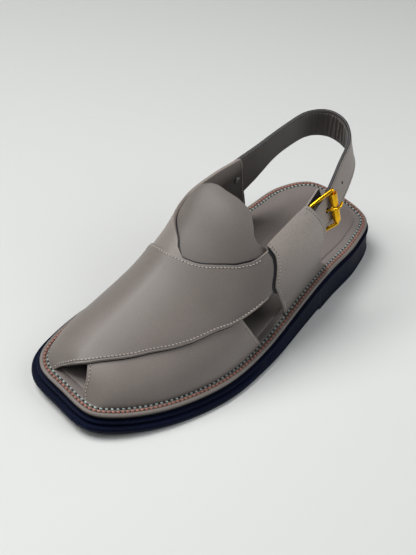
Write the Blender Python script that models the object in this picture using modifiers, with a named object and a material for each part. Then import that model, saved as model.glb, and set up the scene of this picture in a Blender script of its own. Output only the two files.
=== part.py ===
"""A left peshawari chappal: crossed vamp straps, tongue, quarters and a buckled heel strap on a welted sole.

The toe points to -Y, the heel to +Y, the outer side of the foot to +X. The floor is z = 0.
"""

import math
from collections import namedtuple

import bmesh
import bpy
from mathutils import Matrix, Vector

# Driving sizes, in metres
WELT_LENGTH = 0.297
BALL_WIDTH = 0.1156
FOREFOOT_HEIGHT = 0.013
HEEL_HEIGHT = 0.028
TOE_SPRING = 0.0045
WELT_THICKNESS = 0.003
MIDSOLE_THICKNESS = 0.0014
INSOLE_THICKNESS = 0.0024
INSOLE_CLEARANCE = 0.0034
SOLE_FLARE = 0.0056
LIP_PROUD = 0.0022
RIM_HEIGHT = 0.0032
ARCH_LIFT = 0.0042
WELT_MARGIN = 0.0068
INSTEP_HEIGHT = 0.101
LEATHER = 0.0018
OVERLAP = 0.0004
TONGUE_THICKNESS = 0.0016
STRAP_THICKNESS = 0.0026
STRAP_WIDTH = 0.027
STRAP_HEIGHT = 0.104
STRAP_FLARE = 0.012
STRAP_TAIL = 0.9
STRAP_RUN = 0.2325
HOLE_SPACING = 0.0125
HOLE_RADIUS = 0.0011
WORN_HOLE_RADIUS = 0.0021
EDGE_ROUND = 0.0010
ROOT = 0.0015
TRIM_DEPTH = 0.012
GAP = 0.0003

HALF_LENGTH = WELT_LENGTH / 2
HALF_WIDTH = BALL_WIDTH / 2
HEEL_BREAST = 0.37 * HALF_LENGTH
ARCH_FRONT = -0.10 * HALF_LENGTH
ARCH_REAR = 0.17 * HALF_LENGTH
INSOLE_MARGIN = WELT_MARGIN + LEATHER / 2 + INSOLE_CLEARANCE

# The buckle, the tab behind it and the rivet, in metres and shares
BUCKLE_SHARE = 0.915
ROLLER_TILT = math.radians(-5)
ROLLER_RADIUS = 0.0030
ROLLER_LENGTH = 0.0110
BAR_RADIUS = 0.0015
PRONG_RADIUS = 0.0010
PRONG_HOLE = -0.0052
PRONG_SLOT = 0.0052
HINGE_BACK = 0.0155
ROLLER_OUT = STRAP_THICKNESS / 2 + GAP + ROLLER_RADIUS
HINGE_IN = -(STRAP_THICKNESS / 2 + 4 * GAP + BAR_RADIUS)
FRAME_HALF = STRAP_WIDTH * STRAP_TAIL / 2 + BAR_RADIUS + 5 * GAP
GUARD_THICKNESS = 0.0016
GUARD_IN = HINGE_IN - BAR_RADIUS - GAP - GUARD_THICKNESS / 2
GUARD_REACH = 0.002
GUARD_LENGTH = 0.036
GUARD_TOP = 0.0142
RIVET_STATION = 7.52
RIVET_AROUND = 0.84
RIVET_SHARE = 0.085
RIVET_RADIUS = 0.0012
RIVET_CAP = 0.0028
RIVET_CAP_HEIGHT = 0.0008

# Outline of the welt: shares of the half length, heel positive, and of the half width, outer side positive
SoleRow = namedtuple("SoleRow", "along outer inner")
HEEL_POINT = (-0.14, 1.0)
TOE_POINT = (-0.126, -1.0)
SOLE_ROWS = (
    SoleRow(0.955, 0.395, -0.640),
    SoleRow(0.760, 0.614, -0.858),
    SoleRow(0.480, 0.724, -0.840),
    SoleRow(0.210, 0.846, -0.830),
    SoleRow(-0.130, 0.980, -0.945),
    SoleRow(-0.405, 1.000, -1.000),
    SoleRow(-0.715, 0.800, -0.925),
    SoleRow(-0.927, 0.490, -0.735),
    SoleRow(-0.990, 0.295, -0.530),
)
STEPS_PER_ROW = 5

# Sections of the last, toe to heel: shares of the half length where the section meets the welt on
# each side, then its crown, with the height as a share of the instep height
LastRow = namedtuple(
    "LastRow",
    "outer_along inner_along crown_along crown_across crown inner_crown outer_round inner_round flare",
)
LAST_ROWS = (
    LastRow(-0.948, -0.930, -0.966, -0.14, 0.158, 0.158, 2.1, 2, 0.00),
    LastRow(-0.868, -0.858, -0.902, -0.17, 0.300, 0.300, 2.1, 2, 0.00),
    LastRow(-0.720, -0.754, -0.788, -0.21, 0.376, 0.376, 2.1, 2, 0.00),
    LastRow(-0.539, -0.593, -0.606, -0.24, 0.471, 0.471, 2.1, 1.8, 0.00),
    LastRow(-0.350, -0.391, -0.404, -0.27, 0.600, 0.600, 2.1, 1.9, 0.00),
    LastRow(-0.168, -0.202, -0.202, -0.32, 0.792, 0.792, 2.1, 2.3, 0.05),
    LastRow(0.000, 0.000, 0.000, -0.34, 0.980, 0.980, 2.1, 4, 0.10),
    LastRow(0.202, 0.202, 0.202, -0.29, 1.030, 1.050, 2.4, 5, 0.10),
    LastRow(0.404, 0.404, 0.404, -0.22, 1.050, 1.070, 2.6, 5, 0.10),
    LastRow(0.572, 0.572, 0.572, -0.17, 1.030, 1.050, 2.6, 5, 0.10),
)


def smooth(value, start, end):
    share = min(max((value - start) / (end - start), 0.0), 1.0)
    return share * share * (3 - 2 * share)


def slope(before, here, after):
    """A slope that never overshoots: zero at a turn, the harmonic mean elsewhere."""
    left, right = here - before, after - here
    return 0.0 if left * right <= 0 else 2 * left * right / (left + right)


def even_slope(before, here, after):
    return (after - before) / 2


def between(rows, place, slope=slope):
    """The row at a fractional place in a table, on a curve through its rows."""
    first = min(max(int(place), 0), len(rows) - 2)
    share = place - first
    near, far = rows[first], rows[first + 1]
    before = rows[max(first - 1, 0)]
    after = rows[min(first + 2, len(rows) - 1)]
    values = []
    for a, b, c, d in zip(before, near, far, after):
        start = slope(a, b, c) if first > 0 else c - b
        end = slope(b, c, d) if first + 2 < len(rows) else c - b
        rise = c - b
        values.append(
            b + share * start + share**2 * (3 * rise - 2 * start - end) + share**3 * (start + end - 2 * rise)
        )
    return type(near)(*values)


def welt_top(along):
    """Height of the welt's upper face at a distance along the shoe."""
    rise = smooth(along, -0.27 * HALF_LENGTH, 0.4 * HALF_LENGTH)
    return FOREFOOT_HEIGHT + (HEEL_HEIGHT - FOREFOOT_HEIGHT) * rise + ground(along)


def ground(along):
    """Height of the sole's underside, which lifts towards the toe."""
    share = max((-along / HALF_LENGTH - 0.47) / 0.53, 0.0)
    return TOE_SPRING * share**2


def closed_curve(points, steps):
    """A closed centripetal curve through the points, with its outward normals."""
    count = len(points)
    curve = []
    for index in range(count):
        p = [points[(index + shift) % count] for shift in (-1, 0, 1, 2)]
        knots = [0.0]
        for a, b in zip(p, p[1:]):
            knots.append(knots[-1] + math.sqrt((b - a).length))
        for step in range(steps):
            t = knots[1] + (knots[2] - knots[1]) * step / steps
            low = [
                p[k] * ((knots[k + 1] - t) / (knots[k + 1] - knots[k]))
                + p[k + 1] * ((t - knots[k]) / (knots[k + 1] - knots[k]))
                for k in range(3)
            ]
            mid = [
                low[k] * ((knots[k + 2] - t) / (knots[k + 2] - knots[k]))
                + low[k + 1] * ((t - knots[k]) / (knots[k + 2] - knots[k]))
                for k in range(2)
            ]
            share = (t - knots[1]) / (knots[2] - knots[1])
            curve.append(mid[0].lerp(mid[1], share))
    return curve


def welt_outline():
    """The welt's outline from the heel along the outer side to the toe and back."""
    outer = [Vector((row.outer * HALF_WIDTH, row.along * HALF_LENGTH)) for row in SOLE_ROWS]
    inner = [Vector((row.inner * HALF_WIDTH, row.along * HALF_LENGTH)) for row in reversed(SOLE_ROWS)]
    heel = Vector((HEEL_POINT[0] * HALF_WIDTH, HEEL_POINT[1] * HALF_LENGTH))
    toe = Vector((TOE_POINT[0] * HALF_WIDTH, TOE_POINT[1] * HALF_LENGTH))
    return closed_curve([heel, *outer, toe, *inner], STEPS_PER_ROW)


WELT_OUTLINE = welt_outline()


def outline(outset):
    """The welt's outline moved outwards by a distance."""
    count = len(WELT_OUTLINE)
    moved = []
    for index, point in enumerate(WELT_OUTLINE):
        way = WELT_OUTLINE[(index + 1) % count] - WELT_OUTLINE[index - 1]
        moved.append(point + Vector((-way.y, way.x)).normalized() * outset)
    return moved


FOOT_LINE = outline(-WELT_MARGIN)


def foot_across(along, side):
    """Where the last meets the welt, on the outer (1) or the inner (-1) side."""
    half = len(FOOT_LINE) // 2
    line = FOOT_LINE[: half + 1] if side > 0 else FOOT_LINE[:half - 1:-1] + FOOT_LINE[:1]
    for a, b in zip(line, line[1:]):
        if min(a.y, b.y) <= along <= max(a.y, b.y):
            return a.x + (b.x - a.x) * (along - a.y) / (b.y - a.y or 1.0)
    return line[len(line) // 2].x


def last_point(station, around):
    """A point of the last: around is -1 at the welt's outer edge, 0 on the crown, 1 at its inner edge."""
    row = between(LAST_ROWS, station)
    side = -1 if around > 0 else 1
    foot_along = HALF_LENGTH * (row.inner_along if around > 0 else row.outer_along)
    foot = Vector((foot_across(foot_along, side), foot_along, welt_top(foot_along) - ROOT))
    height = INSTEP_HEIGHT * (row.inner_crown if around > 0 else row.crown)
    crown = Vector((row.crown_across * HALF_WIDTH, row.crown_along * HALF_LENGTH, height))
    angle = abs(around) * math.pi / 2
    power = 2 / (row.inner_round if around > 0 else row.outer_round)
    out = max(math.sin(angle), 0.0) ** power
    up = max(math.cos(angle), 0.0) ** power
    flare = row.flare * HALF_WIDTH * out * up if around > 0 else 0.0
    return Vector(
        (
            crown.x + (foot.x - crown.x) * out - flare,
            crown.y + (foot.y - crown.y) * out,
            foot.z + (crown.z - foot.z) * up,
        )
    )


def on_last(station, around, lift=0.0):
    """A point lifted off the last along its outward normal."""
    step = 0.01
    along = last_point(station + step, around) - last_point(station - step, around)
    across = last_point(station, min(around + step, 1.0)) - last_point(station, max(around - step, -1.0))
    return last_point(station, around) + along.cross(across).normalized() * lift


# Edges of each leather panel on the last: at each place around, the stations of its front and rear edges
PanelRow = namedtuple("PanelRow", "around front rear")
OVER_STRAP_ROWS = (
    PanelRow(1, 0, 5.1),
    PanelRow(0.8, 0, 4.95),
    PanelRow(0.475, 0, 4.66),
    PanelRow(0.235, 0.42, 4.52),
    PanelRow(0.07, 0.78, 4.48),
    PanelRow(-0.095, 1.26, 4.56),
    PanelRow(-0.175, 1.6, 4.66),
    PanelRow(-0.25, 1.94, 4.84),
    PanelRow(-0.31, 2.24, 5.02),
    PanelRow(-0.365, 2.58, 5.2),
    PanelRow(-0.405, 2.8, 5.38),
    PanelRow(-0.43, 2.94, 5.5),
    PanelRow(-0.46, 3.15, 5.74),
    PanelRow(-0.475, 3.27, 6.04),
    PanelRow(-0.49, 3.38, 6.6),
    PanelRow(-0.545, 3.96, 6.7),
    PanelRow(-0.605, 4.38, 6.7),
    PanelRow(-0.64, 4.73, 6.66),
    PanelRow(-0.675, 5.2, 6.56),
    PanelRow(-0.695, 5.62, 6.4),
)
UNDER_STRAP_ROWS = (
    PanelRow(-1, 0, 5.35),
    PanelRow(-0.94, 0, 5.2),
    PanelRow(-0.835, 0, 4.96),
    PanelRow(-0.655, 0, 4.72),
    PanelRow(-0.52, 0, 4.62),
    PanelRow(-0.45, 0, 4.58),
    PanelRow(-0.36, 0.12, 4.54),
    PanelRow(-0.285, 0.3, 4.52),
    PanelRow(-0.21, 0.72, 4.5),
    PanelRow(-0.09, 1.26, 4.52),
    PanelRow(0, 1.6, 4.66),
    PanelRow(0.06, 1.85, 4.78),
    PanelRow(0.16, 2.2, 4.92),
    PanelRow(0.27, 2.6, 5.08),
    PanelRow(0.36, 2.8, 5.24),
    PanelRow(0.435, 3, 5.44),
    PanelRow(0.475, 3.1, 5.66),
    PanelRow(0.495, 3.15, 5.92),
    PanelRow(0.51, 3.2, 6.2),
    PanelRow(0.535, 3.25, 6.55),
    PanelRow(0.55, 3.3, 7),
    PanelRow(0.56, 3.3, 7.38),
    PanelRow(0.61, 3.4, 7.55),
    PanelRow(0.69, 3.55, 7.64),
    PanelRow(0.84, 3.85, 7.78),
    PanelRow(0.945, 4.1, 7.88),
    PanelRow(1, 4.24, 8.05),
)
QUARTER_ROWS = (
    PanelRow(-1, 6.46, 8.5),
    PanelRow(-0.97, 6.4, 8.2),
    PanelRow(-0.91, 6.26, 7.84),
    PanelRow(-0.85, 6.14, 7.66),
    PanelRow(-0.79, 6.02, 7.54),
    PanelRow(-0.752, 5.97, 7.56),
    PanelRow(-0.735, 5.95, 7.78),
    PanelRow(-0.685, 5.9, 7.84),
    PanelRow(-0.625, 6.03, 7.78),
    PanelRow(-0.58, 6.11, 7.72),
    PanelRow(-0.535, 6.14, 7.66),
    PanelRow(-0.49, 6.1, 7.58),
    PanelRow(-0.445, 6.04, 7.5),
    PanelRow(-0.43, 6.5, 7.48),
    PanelRow(-0.415, 6.9, 7.44),
    PanelRow(-0.402, 7.34, 7.39),
)
TONGUE_ROWS = (
    PanelRow(0.55, 5, 5.5),
    PanelRow(0.5, 4.75, 5.75),
    PanelRow(0.455, 4.5, 5.84),
    PanelRow(0.37, 4.3, 5.93),
    PanelRow(0.28, 4.15, 5.99),
    PanelRow(0.185, 4.05, 6.03),
    PanelRow(0.125, 4, 6.08),
    PanelRow(0.035, 4, 6.14),
    PanelRow(-0.04, 4, 6.17),
    PanelRow(-0.115, 4.05, 6.2),
    PanelRow(-0.19, 4.15, 6.2),
    PanelRow(-0.245, 4.28, 6.14),
    PanelRow(-0.31, 4.45, 6.02),
    PanelRow(-0.355, 4.6, 5.92),
    PanelRow(-0.4, 4.85, 5.91),
    PanelRow(-0.445, 5.1, 6.02),
    PanelRow(-0.475, 5.3, 6.08),
)

# The heel strap's middle line, from the inner quarter round the heel to the tail: shares of the half
# width, the half length and the strap height, then the way from its lower to its upper edge
StrapRow = namedtuple("StrapRow", "across along height up_across up_along")
STRAP_ROWS = (
    StrapRow(-0.832, 0.222, 0.645, -0.02, -0.41),
    StrapRow(-0.824, 0.34, 0.715, -0.02, -0.41),
    StrapRow(-0.762, 0.465, 0.79, -0.03, -0.38),
    StrapRow(-0.712, 0.618, 0.885, 0.06, -0.37),
    StrapRow(-0.614, 0.747, 0.964, 0.04, -0.34),
    StrapRow(-0.407, 0.822, 0.994, 0.02, -0.27),
    StrapRow(-0.135, 0.825, 0.988, 0.02, -0.31),
    StrapRow(0.120, 0.764, 0.954, -0.1, -0.5),
    StrapRow(0.270, 0.648, 0.877, -0.24, -0.6),
    StrapRow(0.394, 0.513, 0.772, -0.28, -0.52),
    StrapRow(0.493, 0.35, 0.726, -0.24, -0.4),
)


def new_object(name, mesh, material=None, collection=None):
    obj = bpy.data.objects.new(name, mesh)
    (collection or PIECES).objects.link(obj)
    if material:
        mesh.materials.append(material)
    return obj


def finish(shape, name, material=None, collection=None):
    bmesh.ops.recalc_face_normals(shape, faces=shape.faces)
    mesh = bpy.data.meshes.new(name)
    shape.to_mesh(mesh)
    shape.free()
    mesh.shade_smooth()
    mesh.set_sharp_from_angle(angle=math.radians(35))
    return new_object(name, mesh, material, collection)


def apply(obj):
    """Replaces the object's mesh with its evaluated one, and clears its modifiers."""
    graph = bpy.context.evaluated_depsgraph_get()
    mesh = bpy.data.meshes.new_from_object(obj.evaluated_get(graph))
    obj.modifiers.clear()
    obj.data = mesh
    return obj


def layer(name, rings, material=None, collection=None):
    """A solid lofted through rings of the sole outline, each an outset and a height function."""
    shape = bmesh.new()
    loops = []
    for outset, height in rings:
        loops.append([shape.verts.new((p.x, p.y, height(p.y))) for p in outline(outset)])
    count = len(loops[0])
    for low, high in zip(loops, loops[1:]):
        for index in range(count):
            after = (index + 1) % count
            shape.faces.new((low[index], low[after], high[after], high[index]))
    for loop in (loops[0], loops[-1]):
        for index in range(count // 2):
            corners = [loop[index], loop[index + 1], loop[-index - 1], loop[-index]]
            shape.faces.new(list(dict.fromkeys(corners)))
    return finish(shape, name, material, collection)


def sheet(name, rows, columns, place, material=None, collection=None):
    """An open surface: a grid whose corners are set by place(row share, column share)."""
    shape = bmesh.new()
    bmesh.ops.create_grid(shape, x_segments=columns, y_segments=rows, size=0.5)
    for vert in shape.verts:
        vert.co = place(vert.co.y + 0.5, vert.co.x + 0.5)
    return finish(shape, name, material, collection)


def thicken(obj, thickness):
    wall = obj.modifiers.new("Wall", "SOLIDIFY")
    wall.thickness = thickness
    wall.offset = 0
    wall.use_even_offset = True
    return apply(obj)


def join(obj, others, operation="UNION"):
    """Applies one exact Boolean for each of the others and removes them."""
    for other in others:
        cut = obj.modifiers.new("Cut", "BOOLEAN")
        cut.operation = operation
        cut.object = other
        cut.solver = "EXACT"
        apply(obj)
        bpy.data.objects.remove(other)
    return obj


def panel(name, table, rows, columns, lift, thickness):
    """A leather panel on the last, between the edges that its table gives."""

    def place(row_share, column_share):
        row = between(table, row_share * (len(table) - 1))
        station = row.front + (row.rear - row.front) * column_share
        return on_last(station, row.around, lift(station, row.around))

    return thicken(sheet(name, rows, columns, place), thickness)


def rod(name, points, radius, material, sides=2, ring=False):
    """A round wire through points, closed into a ring or with closed ends."""
    curve = bpy.data.curves.new(name, "CURVE")
    curve.dimensions = "3D"
    curve.bevel_depth = radius
    curve.bevel_resolution = sides
    curve.use_fill_caps = True
    line = curve.splines.new("POLY")
    line.points.add(len(points) - 1)
    for spot, point in zip(line.points, points):
        spot.co = (*point, 1)
    line.use_cyclic_u = ring
    wire = new_object(name + "_wire", curve, None, CUTTERS)
    graph = bpy.context.evaluated_depsgraph_get()
    mesh = bpy.data.meshes.new_from_object(wire.evaluated_get(graph))
    bpy.data.objects.remove(wire)
    shape = bmesh.new()
    shape.from_mesh(mesh)
    bmesh.ops.remove_doubles(shape, verts=shape.verts, dist=1e-6)
    return finish(shape, name, material)


def material(name, colour, roughness, metallic=0.0):
    made = bpy.data.materials.new(name)
    made.use_nodes = True
    shader = made.node_tree.nodes["Principled BSDF"]
    shader.inputs["Base Color"].default_value = (*colour, 1)
    shader.inputs["Roughness"].default_value = roughness
    shader.inputs["Metallic"].default_value = metallic
    return made


def raised(base, height):
    return lambda along: base(along) + height


def rubber_top(along):
    return welt_top(along) - WELT_THICKNESS - MIDSOLE_THICKNESS - 2 * GAP


def make_outsole():
    outsole = layer(
        "outsole",
        (
            (SOLE_FLARE - EDGE_ROUND, ground),
            (SOLE_FLARE, raised(ground, EDGE_ROUND)),
            (SOLE_FLARE, raised(ground, RIM_HEIGHT)),
            (SOLE_FLARE - EDGE_ROUND, raised(ground, RIM_HEIGHT + EDGE_ROUND / 2)),
            (LIP_PROUD, raised(rubber_top, -2 * EDGE_ROUND)),
            (LIP_PROUD, raised(rubber_top, -EDGE_ROUND)),
            (LIP_PROUD - EDGE_ROUND, rubber_top),
        ),
        RUBBER,
    )
    return join(outsole, [arch_cutter()], "DIFFERENCE")


def arch_cutter():
    """The hollow under the waist, deepest at the heel's front face."""
    profile = bpy.data.curves.new("arch_profile", "CURVE")
    profile.dimensions = "2D"
    profile.fill_mode = "BOTH"
    profile.extrude = BALL_WIDTH
    line = profile.splines.new("POLY")
    corners = (
        (ARCH_FRONT, 0.0),
        (ARCH_REAR, ARCH_LIFT * 0.75),
        (HEEL_BREAST - ARCH_LIFT, ARCH_LIFT),
        (HEEL_BREAST, ARCH_LIFT * 0.7),
        (HEEL_BREAST + EDGE_ROUND, 0.0),
        (HEEL_BREAST + EDGE_ROUND, -TRIM_DEPTH),
        (ARCH_FRONT, -TRIM_DEPTH),
    )
    line.points.add(len(corners) - 1)
    for spot, (along, height) in zip(line.points, corners):
        spot.co = (along, height, 0, 1)
    line.use_cyclic_u = True
    flat = new_object("arch_flat", profile, None, CUTTERS)
    flat.matrix_world = Matrix(((0, 0, 1, 0), (1, 0, 0, 0), (0, 1, 0, 0), (0, 0, 0, 1)))
    graph = bpy.context.evaluated_depsgraph_get()
    mesh = bpy.data.meshes.new_from_object(flat.evaluated_get(graph))
    mesh.transform(flat.matrix_world)
    bpy.data.objects.remove(flat)
    shape = bmesh.new()
    shape.from_mesh(mesh)
    bmesh.ops.remove_doubles(shape, verts=shape.verts, dist=1e-6)
    return finish(shape, "arch_cutter", None, CUTTERS)


def make_midsole():
    bottom = raised(rubber_top, GAP)
    layer(
        "midsole",
        ((-EDGE_ROUND, bottom), (-EDGE_ROUND, raised(bottom, MIDSOLE_THICKNESS))),
        MIDSOLE,
    )


def make_welt():
    layer(
        "welt",
        (
            (-EDGE_ROUND / 2, raised(welt_top, -WELT_THICKNESS)),
            (0.0, raised(welt_top, -2 * EDGE_ROUND)),
            (-EDGE_ROUND / 3, raised(welt_top, -0.7 * EDGE_ROUND)),
            (-1.4 * EDGE_ROUND, welt_top),
        ),
        LEATHER_GREY,
    )


def make_insole():
    bottom = raised(welt_top, GAP)
    layer(
        "insole",
        (
            (-INSOLE_MARGIN, bottom),
            (-INSOLE_MARGIN, raised(bottom, INSOLE_THICKNESS * 0.6)),
            (-INSOLE_MARGIN - EDGE_ROUND, raised(bottom, INSOLE_THICKNESS)),
        ),
        LEATHER_FOOTBED,
    )


def make_upper():
    """Crossed straps and quarters, joined where they cross, and trimmed to stand on the welt."""
    layers = LEATHER - OVERLAP
    under = panel("upper", UNDER_STRAP_ROWS, 40, 14, lambda station, around: 0.0, LEATHER)
    over = panel("over_strap", OVER_STRAP_ROWS, 36, 14, lambda station, around: layers, LEATHER)

    def quarter_lift(station, around):
        return 2 * layers * smooth(-around, 1.0, 0.80)

    quarter = panel("quarter", QUARTER_ROWS, 24, 12, quarter_lift, LEATHER)
    seat = raised(welt_top, GAP)
    trim = layer("trim", ((0.0, raised(welt_top, -TRIM_DEPTH)), (0.0, seat)), None, CUTTERS)
    upper = join(under, [over, quarter])
    join(upper, [trim], "DIFFERENCE")
    rivet_hole(upper)
    upper.data.materials.clear()
    upper.data.materials.append(LEATHER_GREY)
    return upper


def make_tongue():
    depth = (LEATHER + TONGUE_THICKNESS) / 2 + GAP
    tongue = panel("tongue", TONGUE_ROWS, 18, 8, lambda station, around: -depth, TONGUE_THICKNESS)
    tongue.data.materials.append(LEATHER_GREY)
    return tongue


def strap_frame(share):
    """Middle of the heel strap at a share of its length, with its ways to the tail, up and outwards."""

    def middle(at):
        row = between(STRAP_ROWS, at, even_slope)
        return Vector((row.across * HALF_WIDTH, row.along * HALF_LENGTH, row.height * STRAP_HEIGHT))

    last = len(STRAP_ROWS) - 1
    place = share * last
    row = between(STRAP_ROWS, place, even_slope)
    way = (middle(min(place + 0.05, last)) - middle(max(place - 0.05, 0))).normalized()
    up = Vector((row.up_across, row.up_along, 1.0))
    up = (up - way * up.dot(way)).normalized()
    return middle(place), way, up, up.cross(way)


def buckle_point(back, up, out):
    """A point measured from the roller: towards the heel, up the strap, and outwards."""
    middle, way, strap_up, outward = strap_frame(BUCKLE_SHARE)
    turn = Matrix.Rotation(ROLLER_TILT, 3, outward)
    return middle + turn @ (strap_up * up - way * back) + outward * out


def make_heel_strap():
    def place(row_share, column_share):
        middle, _, up, _ = strap_frame(row_share)
        width = STRAP_WIDTH * (1 - (1 - STRAP_TAIL) * smooth(row_share, 0.6, 0.85))
        below = STRAP_FLARE * smooth(row_share, 0.26, 0.08) * (1 - column_share)
        return middle + up * (width * (column_share - 0.5) - below)

    strap = thicken(sheet("heel_strap", 48, 2, place), STRAP_THICKNESS)
    strap.data.materials.append(LEATHER_GREY)
    cutters = []
    for step, radius in enumerate((WORN_HOLE_RADIUS, HOLE_RADIUS, HOLE_RADIUS)):
        back = PRONG_HOLE + step * HOLE_SPACING
        middle, _, _, outward = strap_frame(BUCKLE_SHARE - back / STRAP_RUN)
        reach = outward * STRAP_THICKNESS
        cutters.append(pin("hole", middle - reach, middle + reach, radius, 12, None, CUTTERS))
    return rivet_hole(join(strap, cutters, "DIFFERENCE"))


def pin(name, start, end, radius, sides, material=None, collection=None):
    """A plain cylinder from one point to another."""
    shape = bmesh.new()
    bmesh.ops.create_cone(
        shape,
        cap_ends=True,
        segments=sides,
        radius1=radius,
        radius2=radius,
        depth=(end - start).length,
    )
    turn = (end - start).to_track_quat("Z", "Y").to_matrix().to_4x4()
    bmesh.ops.transform(shape, matrix=Matrix.Translation((start + end) / 2) @ turn, verts=shape.verts)
    return finish(shape, name, material, collection)


def make_buckle_guard():
    """The tab behind the buckle, from inside the outer quarter to just past the roller."""

    def place(row_share, column_share):
        back = GUARD_REACH - GUARD_LENGTH * row_share
        up = GUARD_TOP - (GUARD_TOP + STRAP_WIDTH / 2) * column_share
        middle, way, strap_up, outward = strap_frame(BUCKLE_SHARE)
        return middle - way * back + strap_up * up + outward * GUARD_IN

    guard = thicken(sheet("buckle_guard", 4, 4, place), GUARD_THICKNESS)
    guard.data.materials.append(LEATHER_DARK)
    slot = [buckle_point(-HINGE_BACK + shift, 0, GUARD_IN) for shift in (-PRONG_SLOT, PRONG_SLOT)]
    join(guard, [pin("prong_slot", *slot, PRONG_RADIUS + 3 * GAP, 8, None, CUTTERS)], "DIFFERENCE")


def rivet_ends():
    """Middle of the rivet in the quarter, and its ends on the inner and outer faces."""
    middle = on_last(RIVET_STATION, RIVET_AROUND)
    outward = (on_last(RIVET_STATION, RIVET_AROUND, 0.01) - middle).normalized()
    place, _, _, away = strap_frame(RIVET_SHARE)
    reach = (place - middle).dot(away) / outward.dot(away) + STRAP_THICKNESS / 2
    return middle - outward * (LEATHER / 2 + GAP), middle + outward * (reach + GAP), outward


def rivet_hole(obj):
    start, end, outward = rivet_ends()
    reach = outward * STRAP_THICKNESS
    cutter = pin("rivet_hole", start - reach, end + reach, RIVET_RADIUS + GAP, 12, None, CUTTERS)
    return join(obj, [cutter], "DIFFERENCE")


def make_strap_rivet():
    start, end, outward = rivet_ends()
    rivet = pin("strap_rivet", start - outward * GAP, end + outward * GAP, RIVET_RADIUS, 12, STEEL)
    caps = [
        pin("cap", start - outward * RIVET_CAP_HEIGHT, start, RIVET_CAP, 16, None, CUTTERS),
        pin("cap", end, end + outward * RIVET_CAP_HEIGHT, RIVET_CAP, 16, None, CUTTERS),
    ]
    join(rivet, caps)


def make_buckle():
    w = FRAME_HALF
    ring = (
        (-HINGE_BACK, -w, HINGE_IN),
        (-HINGE_BACK, w, HINGE_IN),
        (-HINGE_BACK * 0.8, w, HINGE_IN + 0.0008),
        (-HINGE_BACK * 0.4, w, ROLLER_OUT * 0.4),
        (-HINGE_BACK * 0.08, w, ROLLER_OUT),
        (0, w, ROLLER_OUT),
        (0, -w, ROLLER_OUT),
        (-HINGE_BACK * 0.08, -w, ROLLER_OUT),
        (-HINGE_BACK * 0.4, -w, ROLLER_OUT * 0.4),
        (-HINGE_BACK * 0.8, -w, HINGE_IN + 0.0008),
    )
    rod("buckle_frame", [buckle_point(*spot) for spot in ring], BAR_RADIUS, BRASS, 2, True)
    for name, side in (("buckle_roller_upper", 1), ("buckle_roller_lower", -1)):
        start = buckle_point(0, side * (PRONG_RADIUS + GAP), ROLLER_OUT)
        end = buckle_point(0, side * (PRONG_RADIUS + GAP + ROLLER_LENGTH), ROLLER_OUT)
        roller = pin(name, start, end, ROLLER_RADIUS, 20, BRASS)
        reach = (end - start) * 0.2
        bore = pin("bore", start - reach, end + reach, BAR_RADIUS + GAP, 16, None, CUTTERS)
        join(roller, [bore], "DIFFERENCE")
    hook = BAR_RADIUS + GAP + PRONG_RADIUS
    path = [
        (-HINGE_BACK + hook * math.cos(math.radians(turn)), HINGE_IN + hook * math.sin(math.radians(turn)))
        for turn in range(-230, 1, 46)
    ]
    path += [
        (-0.0100, HINGE_IN + 0.0008),
        (-0.0070, -0.0022),
        (-0.0050, 0.0008),
        (-0.0038, 0.0040),
        (-0.0022, ROLLER_OUT + ROLLER_RADIUS),
        (0.0006, ROLLER_OUT + ROLLER_RADIUS + 0.0013),
        (0.0050, ROLLER_OUT + ROLLER_RADIUS + 0.0006),
    ]
    rod("buckle_prong", [buckle_point(back, 0, out) for back, out in path], PRONG_RADIUS, BRASS, 2)


def clear_scene():
    for obj in list(bpy.data.objects):
        bpy.data.objects.remove(obj)


def new_collection(name):
    made = bpy.data.collections.new(name)
    bpy.context.scene.collection.children.link(made)
    return made


clear_scene()
PIECES = new_collection("peshawari_chappal")
CUTTERS = new_collection("cutters")
LEATHER_GREY = material("leather_grey", (0.20, 0.175, 0.16), 0.5)
LEATHER_FOOTBED = material("leather_footbed", (0.17, 0.15, 0.145), 0.55)
LEATHER_DARK = material("leather_dark", (0.03, 0.03, 0.034), 0.6)
STEEL = material("rivet_steel", (0.35, 0.33, 0.31), 0.4, 1.0)
MIDSOLE = material("midsole_black", (0.01, 0.01, 0.012), 0.6)
RUBBER = material("rubber_navy", (0.006, 0.008, 0.02), 0.45)
BRASS = material("buckle_gold", (0.80, 0.45, 0.03), 0.25, 1.0)

make_outsole()
make_midsole()
make_welt()
make_insole()
make_upper()
make_tongue()
make_heel_strap()
make_buckle_guard()
make_buckle()
make_strap_rivet()
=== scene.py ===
"""Dresses the left peshawari chappal: leather straps, stitching, welt, rubber sole, heel strap and buckle.

The toe points to -Y, the heel to +Y, the outer side of the foot to +X. The floor is z = 0.
"""

import math
from bisect import bisect_left
from collections import namedtuple

import bmesh
import bpy
from mathutils import Matrix, Vector


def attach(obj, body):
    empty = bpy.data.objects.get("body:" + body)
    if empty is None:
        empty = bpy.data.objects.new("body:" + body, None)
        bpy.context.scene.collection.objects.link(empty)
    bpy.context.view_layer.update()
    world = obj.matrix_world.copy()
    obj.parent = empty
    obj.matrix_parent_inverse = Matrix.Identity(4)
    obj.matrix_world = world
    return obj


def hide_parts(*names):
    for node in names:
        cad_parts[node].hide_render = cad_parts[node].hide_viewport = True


bl_info = {
    "name": "Peshawari chappal",
    "version": (1, 0, 0),
    "blender": (4, 5, 0),
    "location": "View3D > Sidebar > Chappal",
    "description": "Builds the leather, stitching, sole and buckle of a left chappal on its packed model",
    "category": "Add Mesh",
}

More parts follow.
